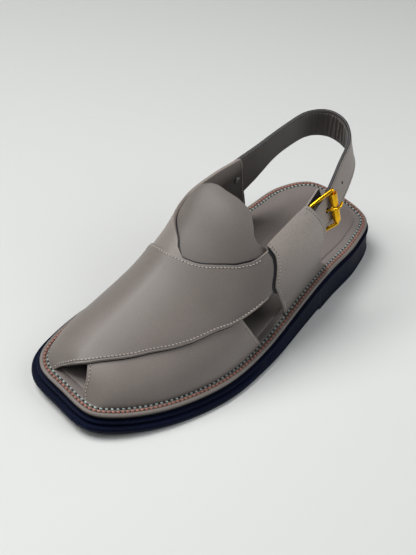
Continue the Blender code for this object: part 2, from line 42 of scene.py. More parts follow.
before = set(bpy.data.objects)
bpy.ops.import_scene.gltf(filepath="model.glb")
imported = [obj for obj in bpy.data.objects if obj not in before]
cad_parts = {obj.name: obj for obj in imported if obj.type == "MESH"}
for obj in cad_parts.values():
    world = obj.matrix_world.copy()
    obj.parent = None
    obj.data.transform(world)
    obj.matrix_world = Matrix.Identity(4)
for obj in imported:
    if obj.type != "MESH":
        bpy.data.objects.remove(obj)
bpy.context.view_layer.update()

# Driving sizes, in metres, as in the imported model
WELT_LENGTH = 0.297
BALL_WIDTH = 0.1156
FOREFOOT_HEIGHT = 0.013
HEEL_HEIGHT = 0.028
TOE_SPRING = 0.0045
WELT_THICKNESS = 0.003
MIDSOLE_THICKNESS = 0.0014
INSOLE_THICKNESS = 0.0024
INSOLE_CLEARANCE = 0.0034
SOLE_FLARE = 0.0056
LIP_PROUD = 0.0022
RIM_HEIGHT = 0.0032
ARCH_LIFT = 0.0042
WELT_MARGIN = 0.0068
INSTEP_HEIGHT = 0.101
LEATHER = 0.0018
OVERLAP = 0.0004
TONGUE_THICKNESS = 0.0016
STRAP_THICKNESS = 0.0026
STRAP_WIDTH = 0.027
STRAP_HEIGHT = 0.104
STRAP_FLARE = 0.012
STRAP_TAIL = 0.9
STRAP_RUN = 0.2325
HOLE_SPACING = 0.0125
HOLE_RADIUS = 0.0011
WORN_HOLE_RADIUS = 0.0021
ROOT = 0.0015
GAP = 0.0003
LAYER = LEATHER - OVERLAP
OVER_STRAP_RISE = 0.0009

HALF_LENGTH = WELT_LENGTH / 2
HALF_WIDTH = BALL_WIDTH / 2
HEEL_BREAST = 0.37 * HALF_LENGTH
ARCH_FRONT = -0.10 * HALF_LENGTH
BREAST_RUN = 0.001
INSOLE_MARGIN = WELT_MARGIN + LEATHER / 2 + INSOLE_CLEARANCE

# The buckle, the tab behind it and the rivet
BUCKLE_SHARE = 0.915
ROLLER_TILT = math.radians(-10)
ROLLER_RADIUS = 0.0030
ROLLER_LENGTH = 0.0110
BAR_RADIUS = 0.0015
PRONG_RADIUS = 0.0010
PRONG_HOLE = -0.0052
HINGE_BACK = 0.0155
ROLLER_OUT = STRAP_THICKNESS / 2 + GAP + ROLLER_RADIUS
HINGE_IN = -(STRAP_THICKNESS / 2 + 4 * GAP + BAR_RADIUS)
FRAME_HALF = STRAP_WIDTH * STRAP_TAIL / 2 + BAR_RADIUS + 3 * GAP
GUARD_THICKNESS = 0.0016
GUARD_IN = HINGE_IN - BAR_RADIUS - GAP - GUARD_THICKNESS / 2
GUARD_REACH = 0.002
GUARD_LENGTH = 0.036
GUARD_TOP = 0.0142
RIVET_STATION = 7.52
RIVET_AROUND = 0.84
RIVET_SHARE = 0.085
RIVET_RADIUS = 0.0012
RIVET_CAP = 0.0028
RIVET_CAP_HEIGHT = 0.0008


def table(kind, *rows):
    """Rows of one kind, whose named columns that kind gives."""
    return tuple(kind(*row) for row in rows)


# Outline of the welt: shares of the half length, heel positive, and of the half width, outer side positive
SoleRow = namedtuple("SoleRow", "along outer inner")
HEEL_POINT = (-0.14, 1.0)
TOE_POINT = (-0.126, -1.0)
SOLE_ROWS = table(
    SoleRow,
    (0.955, 0.395, -0.640),
    (0.760, 0.614, -0.858),
    (0.480, 0.724, -0.840),
    (0.210, 0.846, -0.830),
    (-0.130, 0.980, -0.945),
    (-0.405, 1.000, -1.000),
    (-0.715, 0.800, -0.925),
    (-0.927, 0.490, -0.735),
    (-0.990, 0.295, -0.530),
)
STEPS_PER_ROW = 20

# Sections of the last, toe to heel: shares of the half length where the section meets the welt on
# each side, then its crown, with the height as a share of the instep height
LastRow = namedtuple(
    "LastRow",
    "outer_along inner_along crown_along crown_across crown inner_crown outer_round inner_round flare",
)
LAST_ROWS = table(
    LastRow,
    (-0.948, -0.930, -0.966, -0.14, 0.158, 0.158, 2.1, 2, 0.00),
    (-0.868, -0.858, -0.902, -0.17, 0.300, 0.300, 2.1, 2, 0.00),
    (-0.720, -0.754, -0.788, -0.21, 0.376, 0.376, 2.1, 2, 0.00),
    (-0.539, -0.593, -0.606, -0.24, 0.471, 0.471, 2.1, 1.8, 0.00),
    (-0.350, -0.391, -0.404, -0.27, 0.600, 0.600, 2.1, 1.9, 0.00),
    (-0.168, -0.202, -0.202, -0.32, 0.792, 0.792, 2.1, 2.3, 0.05),
    (0.000, 0.000, 0.000, -0.34, 0.980, 0.980, 2.1, 4, 0.10),
    (0.202, 0.202, 0.202, -0.29, 1.030, 1.050, 2.4, 5, 0.10),
    (0.404, 0.404, 0.404, -0.22, 1.050, 1.070, 2.6, 5, 0.10),
    (0.572, 0.572, 0.572, -0.17, 1.030, 1.050, 2.6, 5, 0.10),
)

# Edges of each leather panel on the last: at each place around, the stations of its front and rear edges
PanelRow = namedtuple("PanelRow", "around front rear")
OVER_STRAP_ROWS = table(
    PanelRow,
    (1, 0, 5.1), (0.8, 0, 4.95), (0.475, 0, 4.66), (0.235, 0.42, 4.52), (0.07, 0.78, 4.48),
    (-0.095, 1.26, 4.56), (-0.175, 1.6, 4.66), (-0.25, 1.94, 4.84), (-0.31, 2.24, 5.02),
    (-0.365, 2.58, 5.2), (-0.405, 2.8, 5.38), (-0.43, 2.94, 5.5), (-0.46, 3.15, 5.74),
    (-0.475, 3.27, 6.04), (-0.49, 3.38, 6.6), (-0.545, 3.96, 6.7), (-0.605, 4.38, 6.7),
    (-0.64, 4.73, 6.66), (-0.675, 5.2, 6.56), (-0.695, 5.62, 6.4),
)
UNDER_STRAP_ROWS = table(
    PanelRow,
    (-1, 0, 5.35), (-0.94, 0, 5.2), (-0.835, 0, 4.96), (-0.655, 0, 4.72), (-0.52, 0, 4.62),
    (-0.45, 0, 4.58), (-0.36, 0.12, 4.54), (-0.285, 0.3, 4.52), (-0.21, 0.72, 4.5),
    (-0.09, 1.26, 4.52), (0, 1.6, 4.66), (0.06, 1.85, 4.78), (0.16, 2.2, 4.92),
    (0.27, 2.6, 5.08), (0.36, 2.8, 5.24), (0.435, 3, 5.44), (0.475, 3.1, 5.66),
    (0.495, 3.15, 5.92), (0.51, 3.2, 6.2), (0.535, 3.25, 6.55), (0.55, 3.3, 7),
    (0.56, 3.3, 7.38), (0.61, 3.4, 7.55), (0.69, 3.55, 7.64), (0.84, 3.85, 7.78),
    (0.945, 4.1, 7.88), (1, 4.24, 8.05),
)
QUARTER_ROWS = table(
    PanelRow,
    (-1, 6.46, 8.5), (-0.97, 6.4, 8.2), (-0.91, 6.26, 7.84), (-0.85, 6.14, 7.66),
    (-0.79, 6.02, 7.54), (-0.752, 5.97, 7.56), (-0.735, 5.95, 7.78), (-0.685, 5.9, 7.84),
    (-0.625, 6.03, 7.78), (-0.58, 6.11, 7.72), (-0.535, 6.14, 7.66), (-0.49, 6.1, 7.58),
    (-0.445, 6.04, 7.5), (-0.43, 6.5, 7.48), (-0.415, 6.9, 7.44), (-0.402, 7.34, 7.39),
)
TONGUE_ROWS = table(
    PanelRow,
    (0.55, 5, 5.5), (0.5, 4.75, 5.75), (0.455, 4.5, 5.84), (0.37, 4.3, 5.93),
    (0.28, 4.15, 5.99), (0.185, 4.05, 6.03), (0.125, 4, 6.08), (0.035, 4, 6.14),
    (-0.04, 4, 6.17), (-0.115, 4.05, 6.2), (-0.19, 4.15, 6.2), (-0.245, 4.28, 6.14),
    (-0.31, 4.45, 6.02), (-0.355, 4.6, 5.92), (-0.4, 4.85, 5.91), (-0.445, 5.1, 6.02),
    (-0.475, 5.3, 6.08),
)

# The heel strap's middle line, from the inner quarter round the heel to the tail: shares of the half
# width, the half length and the strap height, then the way from its lower to its upper edge
StrapRow = namedtuple("StrapRow", "across along height up_across up_along")
STRAP_ROWS = table(
    StrapRow,
    (-0.832, 0.222, 0.645, -0.02, -0.41),
    (-0.824, 0.34, 0.715, -0.02, -0.41),
    (-0.762, 0.465, 0.79, -0.03, -0.38),
    (-0.712, 0.618, 0.885, 0.06, -0.37),
    (-0.614, 0.747, 0.964, 0.04, -0.34),
    (-0.407, 0.822, 0.994, 0.02, -0.27),
    (-0.135, 0.825, 0.988, 0.02, -0.31),
    (0.120, 0.764, 0.954, -0.1, -0.5),
    (0.270, 0.648, 0.877, -0.24, -0.6),
    (0.394, 0.513, 0.772, -0.28, -0.52),
    (0.493, 0.35, 0.726, -0.24, -0.4),
)

# Wrinkles of the strap's lining: place along the strap, spread, depth in metres, and lean
Wrinkle = namedtuple("Wrinkle", "place spread depth lean")
WRINKLES = table(
    Wrinkle,
    (0.455, 0.0060, 0.00035, 0.010),
    (0.492, 0.0050, 0.00045, -0.008),
    (0.520, 0.0042, 0.00060, 0.012),
    (0.546, 0.0040, 0.00070, -0.006),
    (0.570, 0.0038, 0.00075, 0.009),
    (0.592, 0.0038, 0.00070, -0.010),
    (0.614, 0.0042, 0.00060, 0.006),
    (0.640, 0.0050, 0.00045, -0.008),
)

# The camera, in metres, degrees and pixels of the photograph's frame
FRAME_LONG_SIDE = 555
CAMERA_AZIMUTH = 37.84
CAMERA_ELEVATION = 45.01
CAMERA_ROLL = 9.43
CAMERA_DISTANCE = 0.6293
CAMERA_TARGET = (-0.0170, -0.0027, 0.020)
CAMERA_FOCUS = 839.9
SENSOR = 36.0


def size_field(name, default, description):
    return bpy.props.FloatProperty(
        name=name, default=default, min=0.0, precision=5, unit="LENGTH", description=description
    )


def colour_field(name, default, description):
    return bpy.props.FloatVectorProperty(
        name=name, default=default, size=3, min=0.0, max=1.0, subtype="COLOR", description=description
    )


class ChappalSizes(bpy.types.PropertyGroup):
    """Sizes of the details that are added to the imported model"""

    seam_inset: size_field("Seam inset", 0.0019, "Distance of the stitching from a panel's edge")
    stitch: size_field("Stitch", 0.0019, "Length of one stitch in the panels")
    stitch_gap: size_field("Stitch gap", 0.0006, "Gap between two stitches in the panels")
    thread: size_field("Thread", 0.00066, "Width of the thread in the panels")
    welt_stitch: size_field("Welt stitch", 0.0026, "Length of one stitch in the welt")
    welt_thread: size_field("Welt thread", 0.0014, "Width of the thread in the welt")
    edge_round: size_field("Edge round", 0.0004, "Rounding of the leather's cut edges")
    grain: size_field("Grain", 0.0007, "Width of one cell of the leather's grain")


class ChappalColours(bpy.types.PropertyGroup):
    """Colours of the leather, threads, rubber and metal"""

    leather: colour_field("Leather", (0.214, 0.188, 0.171), "Grained taupe leather")
    edge: colour_field("Edge", (0.27, 0.235, 0.212), "Cut and painted edges of the leather")
    lining: colour_field("Lining", (0.044, 0.047, 0.062), "Lining of the heel strap")
    # The flesh side's pale colour at its painted-light top; make_inside paints shade below it.
    inside: colour_field("Inside", (0.52, 0.46, 0.42), "Flesh side of the straps")
    footbed: colour_field("Footbed", (0.184, 0.160, 0.149), "Smooth leather under the foot")
    rubber: colour_field("Rubber", (0.0024, 0.0045, 0.0165), "Rubber of the sole")
    thread: colour_field("Thread", (0.56, 0.51, 0.47), "Thread of the panels")
    teal: colour_field("Teal thread", (0.40, 0.48, 0.46), "Inner thread of the welt")
    rust: colour_field("Rust thread", (0.42, 0.175, 0.13), "Outer thread of the welt")
    gold: colour_field("Gold", (0.90, 0.50, 0.02), "Plating of the buckle")
    floor: colour_field("Floor", (0.705, 0.722, 0.713), "Studio floor")


def sizes():
    return bpy.context.scene.chappal_sizes


def colours():
    return bpy.context.scene.chappal_colours


def smooth(value, start, end):
    share = min(max((value - start) / (end - start), 0.0), 1.0)
    return share * share * (3 - 2 * share)


def slope(before, here, after):
    """A slope that never overshoots: zero at a turn, the harmonic mean elsewhere."""
    left, right = here - before, after - here
    return 0.0 if left * right <= 0 else 2 * left * right / (left + right)


def even_slope(before, here, after):
    return (after - before) / 2


def between(rows, place, rate=slope):
    """The row at a fractional place in a table, on a curve through its rows."""
    first = min(max(int(place), 0), len(rows) - 2)
    share = place - first
    near, far = rows[first], rows[first + 1]
    before = rows[max(first - 1, 0)]
    after = rows[min(first + 2, len(rows) - 1)]
    values = []
    for a, b, c, d in zip(before, near, far, after):
        start = rate(a, b, c) if first > 0 else c - b
        end = rate(b, c, d) if first + 2 < len(rows) else c - b
        rise = c - b
        bend = 3 * rise - 2 * start - end
        values.append(b + share * start + share**2 * bend + share**3 * (start + end - 2 * rise))
    return type(near)(*values)


def welt_top(along):
    """Height of the welt's upper face at a distance along the shoe."""
    rise = smooth(along, -0.27 * HALF_LENGTH, 0.4 * HALF_LENGTH)
    return FOREFOOT_HEIGHT + (HEEL_HEIGHT - FOREFOOT_HEIGHT) * rise + ground(along)


def ground(along):
    """Height of the sole's underside, which lifts towards the toe."""
    share = max((-along / HALF_LENGTH - 0.47) / 0.53, 0.0)
    return TOE_SPRING * share**2


def arch(along):
    """Height of the hollow under the waist, which ends at the heel's front face."""
    if along <= HEEL_BREAST:
        return ARCH_LIFT * smooth(along, ARCH_FRONT, HEEL_BREAST - 2 * ARCH_LIFT)
    return ARCH_LIFT * max(1 - (along - HEEL_BREAST) / BREAST_RUN, 0.0)


def closed_curve(points, steps):
    """A closed centripetal curve through the points."""
    count = len(points)
    curve = []
    for index in range(count):
        p = [points[(index + shift) % count] for shift in (-1, 0, 1, 2)]
        knots = [0.0]
        for a, b in zip(p, p[1:]):
            knots.append(knots[-1] + math.sqrt((b - a).length))
        for step in range(steps):
            t = knots[1] + (knots[2] - knots[1]) * step / steps
            level = p
            for first, span in ((0, 1), (0, 2), (1, 1)):
                shares = [(t - k) / (far - k) for k, far in zip(knots[first:], knots[first + span :])]
                level = [a + (b - a) * share for a, b, share in zip(level, level[1:], shares)]
            curve.append(level[0])
    return curve


def welt_outline():
    """The welt's outline from the heel along the outer side to the toe and back."""
    outer = [Vector((row.outer * HALF_WIDTH, row.along * HALF_LENGTH)) for row in SOLE_ROWS]
    inner = [Vector((row.inner * HALF_WIDTH, row.along * HALF_LENGTH)) for row in reversed(SOLE_ROWS)]
    heel = Vector((HEEL_POINT[0] * HALF_WIDTH, HEEL_POINT[1] * HALF_LENGTH))
    toe = Vector((TOE_POINT[0] * HALF_WIDTH, TOE_POINT[1] * HALF_LENGTH))
    return closed_curve([heel, *outer, toe, *inner], STEPS_PER_ROW)


WELT_OUTLINE = welt_outline()


def outline(outset):
    """The welt's outline moved outwards by a distance."""
    count = len(WELT_OUTLINE)
    moved = []
    for index, point in enumerate(WELT_OUTLINE):
        way = WELT_OUTLINE[(index + 1) % count] - WELT_OUTLINE[index - 1]
        moved.append(point + Vector((-way.y, way.x)).normalized() * outset)
    return moved


def across_table(outset):
    """The outline's places along and across, rising towards the heel, for its outer and inner side."""
    points = outline(outset)
    half = len(points) // 2
    table = {}
    for side, line in ((1, points[: half + 1]), (-1, points[half:] + points[:1])):
        line = sorted(line, key=lambda point: point.y)
        table[side] = ([point.y for point in line], [point.x for point in line])
    return table


def across_at(table, along, side):
    places, widths = table[side]
    index = min(max(bisect_left(places, along), 1), len(places) - 1)
    low, high = places[index - 1], places[index]
    share = min(max((along - low) / (high - low or 1.0), 0.0), 1.0)
    return widths[index - 1] + (widths[index] - widths[index - 1]) * share


FOOT_TABLE = across_table(-WELT_MARGIN)


def last_point(station, around):
    """A point of the last: around is -1 at the welt's outer edge, 0 on the crown, 1 at its inner edge."""
    row = between(LAST_ROWS, station)
    side = -1 if around > 0 else 1
    foot_along = HALF_LENGTH * (row.inner_along if around > 0 else row.outer_along)
    foot = Vector((across_at(FOOT_TABLE, foot_along, side), foot_along, welt_top(foot_along) - ROOT))
    height = INSTEP_HEIGHT * (row.inner_crown if around > 0 else row.crown)
    crown = Vector((row.crown_across * HALF_WIDTH, row.crown_along * HALF_LENGTH, height))
    angle = abs(around) * math.pi / 2
    power = 2 / (row.inner_round if around > 0 else row.outer_round)
    out = max(math.sin(angle), 0.0) ** power
    up = max(math.cos(angle), 0.0) ** power
    flare = row.flare * HALF_WIDTH * out * up if around > 0 else 0.0
    return Vector(
        (
            crown.x + (foot.x - crown.x) * out - flare,
            crown.y + (foot.y - crown.y) * out,
            foot.z + (crown.z - foot.z) * up,
        )
    )


def on_last(station, around, lift=0.0):
    """A point lifted off the last along its outward normal."""
    step = 0.01
    along = last_point(station + step, around) - last_point(station - step, around)
    across = last_point(station, min(around + step, 1.0)) - last_point(station, max(around - step, -1.0))
    return last_point(station, around) + along.cross(across).normalized() * lift


SEAM_STEPS = 240


class Panel:
    """A leather panel on the last, between the edges that its table gives."""

    def __init__(self, table, lift, thickness=LEATHER):
        self.table = table
        self.lift = lift
        self.thickness = thickness

    def point(self, row_share, column_share, height=0.0):
        row = between(self.table, row_share * (len(self.table) - 1))
        station = row.front + (row.rear - row.front) * column_share
        return on_last(station, row.around, self.lift(station, row.around, column_share) + height)

    def seam(self, edge, inset, start, end, face):
        """Points along an edge, a distance inside it on the outer (1) or inner (-1) face, with normals."""
        column = 0.0 if edge == "front" else 1.0
        found = []
        vote = 0.0
        for index in range(SEAM_STEPS + 1):
            share = start + (end - start) * index / SEAM_STEPS
            place, along, across, inward = self.edge_ways(share, column)
            vote += inward.dot(self.point(share, abs(column - 0.04)) - self.point(share, column))
            found.append((place, along, across, inward * inset))
        line = []
        for (station, around), along, across, step in found:
            step = step if vote > 0 else -step
            a, b, c = along.dot(along), along.dot(across), across.dot(across)
            d, e = along.dot(step), across.dot(step)
            even = a * c - b * b
            station += (c * d - b * e) / even
            around = min(max(around + (a * e - b * d) / even, -1.0), 1.0)
            lift = self.lift(station, around, column)
            low, high = (
                on_last(station, around, lift + (self.thickness / 2 + above) * face) for above in (0, GAP)
            )
            line.append((low, (high - low).normalized()))
        return line

    def edge_ways(self, share, column):
        """An edge's place, the last's slopes along and around it, and the way square to the edge."""

        def place(at):
            row = between(self.table, min(max(at, 0.0), 1.0) * (len(self.table) - 1))
            return row.front if column == 0.0 else row.rear, row.around

        near = 0.004
        station, around = place(share)
        way = last_point(*place(share + near)) - last_point(*place(share - near))
        along = (last_point(station + near, around) - last_point(station - near, around)) / (2 * near)
        high, low = min(around + near, 1.0), max(around - near, -1.0)
        across = (last_point(station, high) - last_point(station, low)) / (high - low)
        return (station, around), along, across, along.cross(across).cross(way).normalized()


# How far each panel's middle lies above the last
def under_lift(station, around, column):
    return 0.0


def over_lift(station, around, column):
    edge = smooth(column, 0.06, 0.0) * smooth(station, 0.0, 1.0) * smooth(around, 0.45, 0.2)
    return LAYER * (1 - 0.7 * smooth(around, 0.82, 1.0)) + OVER_STRAP_RISE * edge


def quarter_lift(station, around, column):
    return 2 * LAYER * smooth(-around, 1.0, 0.80)


def tongue_lift(station, around, column):
    return -(LEATHER + TONGUE_THICKNESS) / 2 - GAP


UNDER_STRAP = Panel(UNDER_STRAP_ROWS, under_lift)
OVER_STRAP = Panel(OVER_STRAP_ROWS, over_lift)
QUARTER = Panel(QUARTER_ROWS, quarter_lift)
TONGUE = Panel(TONGUE_ROWS, tongue_lift, TONGUE_THICKNESS)


def strap_frame(share):
    """Middle of the heel strap at a share of its length, with its ways to the tail, up and outwards."""

    def middle(at):
        row = between(STRAP_ROWS, at, even_slope)
        return Vector((row.across * HALF_WIDTH, row.along * HALF_LENGTH, row.height * STRAP_HEIGHT))

    last = len(STRAP_ROWS) - 1
    place = share * last
    row = between(STRAP_ROWS, place, even_slope)
    way = (middle(min(place + 0.05, last)) - middle(max(place - 0.05, 0))).normalized()
    up = Vector((row.up_across, row.up_along, 1.0))
    up = (up - way * up.dot(way)).normalized()
    return middle(place), way, up, up.cross(way)


def strap_point(share, column, out=0.0):
    """A point of the heel strap: column is 0 at its lower edge and 1 at its upper edge."""
    middle, _, up, outward = strap_frame(share)
    width = STRAP_WIDTH * (1 - (1 - STRAP_TAIL) * smooth(share, 0.76, 0.90))
    below = STRAP_FLARE * smooth(share, 0.26, 0.08) * (1 - column)
    return middle + up * (width * (column - 0.5) - below) + outward * out


def buckle_point(back, up, out):
    """A point measured from the roller: towards the heel, up the strap, and outwards.

    The roller's tilt fades out towards the hinge."""
    middle, way, strap_up, outward = strap_frame(BUCKLE_SHARE)
    tilt = ROLLER_TILT * (1 - smooth(-back, 0.0, HINGE_BACK))
    turn = Matrix.Rotation(tilt, 3, outward)
    return middle + turn @ (strap_up * up) - way * back + outward * out


class Value:
    """A shader value that takes part in plain arithmetic."""

    def __init__(self, paint, socket):
        self.paint = paint
        self.socket = socket

    def combine(self, operation, *others, flip=False):
        terms = [self, *others]
        if flip:
            terms.reverse()
        node = self.paint.node("ShaderNodeMath", {"operation": operation}, dict(enumerate(terms)))
        return Value(self.paint, node.outputs[0])

    def __add__(self, other):
        return self.combine("ADD", other)

    __radd__ = __add__

    def __mul__(self, other):
        return self.combine("MULTIPLY", other)

    __rmul__ = __mul__

    def __sub__(self, other):
        return self.combine("SUBTRACT", other)

    def __rsub__(self, other):
        return self.combine("SUBTRACT", other, flip=True)

    def clamp(self, low, high):
        """0 at low, 1 at high, and held between them."""
        settings = {"clamp": True}
        links = {"Value": self, "From Min": low, "From Max": high}
        return Value(self.paint, self.paint.node("ShaderNodeMapRange", settings, links).outputs[0])


class Paint:
    """A material's node tree round its Principled shader."""

    def __init__(self, name, roughness, metallic=0.0, specular=0.5):
        self.material = bpy.data.materials.new(name)
        self.material.use_nodes = True
        self.nodes = self.material.node_tree.nodes
        self.links = self.material.node_tree.links
        self.shader = self.nodes["Principled BSDF"]
        self.set(self.shader, {"Roughness": roughness, "Metallic": metallic, "Specular IOR Level": specular})
        coordinates = self.node("ShaderNodeTexCoord")
        self.place = coordinates.outputs["Object"]

    def set(self, node, sockets):
        for key, value in sockets.items():
            socket = node.inputs[key]
            if isinstance(value, Value):
                value = value.socket
            if isinstance(value, bpy.types.NodeSocket):
                self.links.new(value, socket)
            elif isinstance(value, tuple) and len(value) == 3 and socket.type == "RGBA":
                socket.default_value = (*value, 1.0)
            else:
                socket.default_value = value

    def node(self, kind, settings=None, sockets=None):
        node = self.nodes.new(kind)
        for key, value in (settings or {}).items():
            setattr(node, key, value)
        self.set(node, sockets or {})
        return node

    def noise(self, scale, detail=2.0):
        links = {"Vector": self.place, "Scale": scale, "Detail": detail, "Roughness": 0.5}
        return Value(self, self.node("ShaderNodeTexNoise", None, links).outputs["Fac"])

    def cells(self, scale):
        links = {"Vector": self.place, "Scale": scale}
        return Value(self, self.node("ShaderNodeTexVoronoi", None, links).outputs["Distance"])

    def axis(self, name):
        node = self.node("ShaderNodeSeparateXYZ", None, {"Vector": self.place})
        return Value(self, node.outputs[name])

    def mix(self, share, first, second):
        links = {"Factor": share, 6: first, 7: second}
        return self.node("ShaderNodeMix", {"data_type": "RGBA"}, links).outputs[2]

    def bump(self, height, distance, strength):
        links = {"Height": height, "Distance": distance, "Strength": strength}
        self.set(self.shader, {"Normal": self.node("ShaderNodeBump", None, links).outputs[0]})

    def finish(self, sockets):
        self.set(self.shader, sockets)
        return self.material


def shade(base, factor):
    return tuple(min(channel * factor, 1.0) for channel in base)


def make_leather(name, base, grain=1.0, roughness=0.46, wear=1.25, painted_light=None):
    """Fine-grained leather, a little darker in its pores and lighter where it is rubbed.

    The last argument gives, from the paint, a share and the factor of the colour there, which paints light
    or shade into the leather."""
    paint = Paint(name, roughness, specular=0.42)
    scale = 1 / sizes().grain
    cells = paint.cells(scale)
    broad = paint.noise(38.0, 3.0)
    cloud = paint.noise(9.0, 2.0)
    fine = paint.noise(scale * 1.9, 2.0)
    pores = cells.clamp(0.55, 0.85)
    tone = (broad * 0.55 + cloud * 0.45).clamp(0.30, 0.70)
    dye_and_painted_light = paint.mix(tone, shade(base, 0.93), shade(base, 1.07))
    # Mixes painted light or painted shade into the dye's colour.
    if painted_light:
        share, factor = painted_light(paint)
        dye_and_painted_light = paint.mix(share, dye_and_painted_light, shade(base, factor))
    grained = paint.mix(pores * 0.30, dye_and_painted_light, shade(base, 0.62))
    pointed = paint.node("ShaderNodeNewGeometry").outputs["Pointiness"]
    rubbed = Value(paint, pointed).clamp(0.505, 0.56) * fine.clamp(0.3, 0.6)
    worn = paint.mix(rubbed * 0.55, grained, shade(base, wear))
    height = 1 - cells.clamp(0.15, 0.95) + fine * 0.35 + broad * 0.8
    paint.bump(height, 0.00012, 0.34 * grain)
    gloss = (fine * 0.5 + broad * 0.5) * 0.16 + (roughness - 0.08)
    return paint.finish({"Base Color": worn, "Roughness": gloss})


def painted_shade_under_straps(paint):
    """Painted shade, darker under the straps and less so towards the outer edge."""
    along = paint.axis("Y")
    covered = along.clamp(-0.128, -0.112) * (1 - along.clamp(0.000, 0.045))
    return covered * (1 - paint.axis("X").clamp(0.026, 0.048) * 0.5), 0.40


def painted_light_fold(paint):
    """Painted light, paler towards the top, where the quarter folds over."""
    return paint.axis("Z").clamp(0.048, 0.078), 2.25


def make_edge(name, base):
    """Painted leather edge, faintly fibrous along its layers."""
    paint = Paint(name, 0.5, specular=0.35)
    fibre = paint.noise(900.0, 2.0)
    paint.bump(fibre, 0.0001, 0.4)
    return paint.finish({"Base Color": paint.mix(fibre, shade(base, 0.86), shade(base, 1.08))})


def make_lining(name, base):
    """Close-napped lining, with painted light making it lighter on the foot's inner side."""
    paint = Paint(name, 0.56, specular=0.35)
    nap = paint.noise(1500.0, 2.0)
    broad = paint.noise(60.0, 3.0)
    tone = paint.mix(broad.clamp(0.3, 0.7), shade(base, 0.80), shade(base, 1.30))
    # Painted light: lighter towards the foot's inner side (-X).
    colour = paint.mix(paint.axis("X").clamp(-0.045, 0.0), shade(base, 1.6), tone)
    paint.bump(nap + broad * 0.7, 0.00010, 0.35)
    return paint.finish({"Base Color": colour, "Roughness": nap * 0.2 + 0.46})


def make_inside(name, base):
    """Flesh side of the straps, with painted light making it pale towards the top, where it folds over, and
    painted shade making it dark below.
    """
    paint = Paint(name, 0.62, specular=0.25)
    nap = paint.noise(1200.0, 2.0)
    # Painted light at the top and painted shade below.
    painted_light_top = (paint.axis("Z") - paint.axis("Y") * 0.25).clamp(0.066, 0.090)
    painted_light_and_shade = paint.mix(painted_light_top, shade(base, 0.10), base)
    paint.bump(nap, 0.00010, 0.4)
    return paint.finish({"Base Color": paint.mix(nap * 0.4, painted_light_and_shade, shade(base, 0.2))})


def make_thread(name, base):
    """Waxed twisted thread."""
    paint = Paint(name, 0.5, specular=0.4)
    strands = paint.noise(1900.0, 1.0)
    dye = paint.noise(160.0, 1.0)
    tone = paint.mix(dye.clamp(0.3, 0.7), shade(base, 0.82), shade(base, 1.15))
    paint.bump(strands, 0.00015, 0.6)
    return paint.finish({"Base Color": paint.mix(strands * 0.5, tone, shade(base, 0.55))})


def make_rubber(name, base):
    """Moulded navy rubber with a satin skin and a few pale specks."""
    paint = Paint(name, 0.5, specular=0.07)
    skin = paint.noise(700.0, 3.0)
    broad = paint.noise(25.0, 2.0)
    specks = paint.noise(420.0, 0.0).clamp(0.80, 0.84)
    tone = paint.mix(broad.clamp(0.3, 0.7), shade(base, 0.8), shade(base, 1.25))
    paint.bump(skin, 0.00008, 0.4)
    colour = paint.mix(specks * 0.5, tone, shade(base, 7.0))
    return paint.finish({"Base Color": colour, "Roughness": skin * 0.18 + broad * 0.12 + 0.38})


def make_metal(name, base, roughness):
    """Polished metal with faint rubbing marks."""
    paint = Paint(name, roughness, 1.0)
    marks = paint.noise(2200.0, 1.0)
    dull = paint.noise(300.0, 2.0)
    paint.bump(marks, 0.00002, 0.3)
    colour = paint.mix(dull.clamp(0.45, 0.8), base, shade(base, 0.82))
    return paint.finish({"Base Color": colour, "Roughness": dull * 0.16 + (roughness - 0.04)})


def make_floor(name, base):
    """Matt studio paper, with painted shade darkening it towards -X and a little towards +Y."""
    paint = Paint(name, 0.85, specular=0.15)
    tone = paint.noise(2.0, 2.0)
    paper = paint.mix(tone, shade(base, 0.985), shade(base, 1.01))
    # Painted shade: darker towards -X and a little towards +Y.
    far = (paint.axis("Y") * 0.2 - paint.axis("X")).clamp(-0.10, 0.50)
    return paint.finish({"Base Color": paint.mix(far, paper, shade(base, 0.70))})


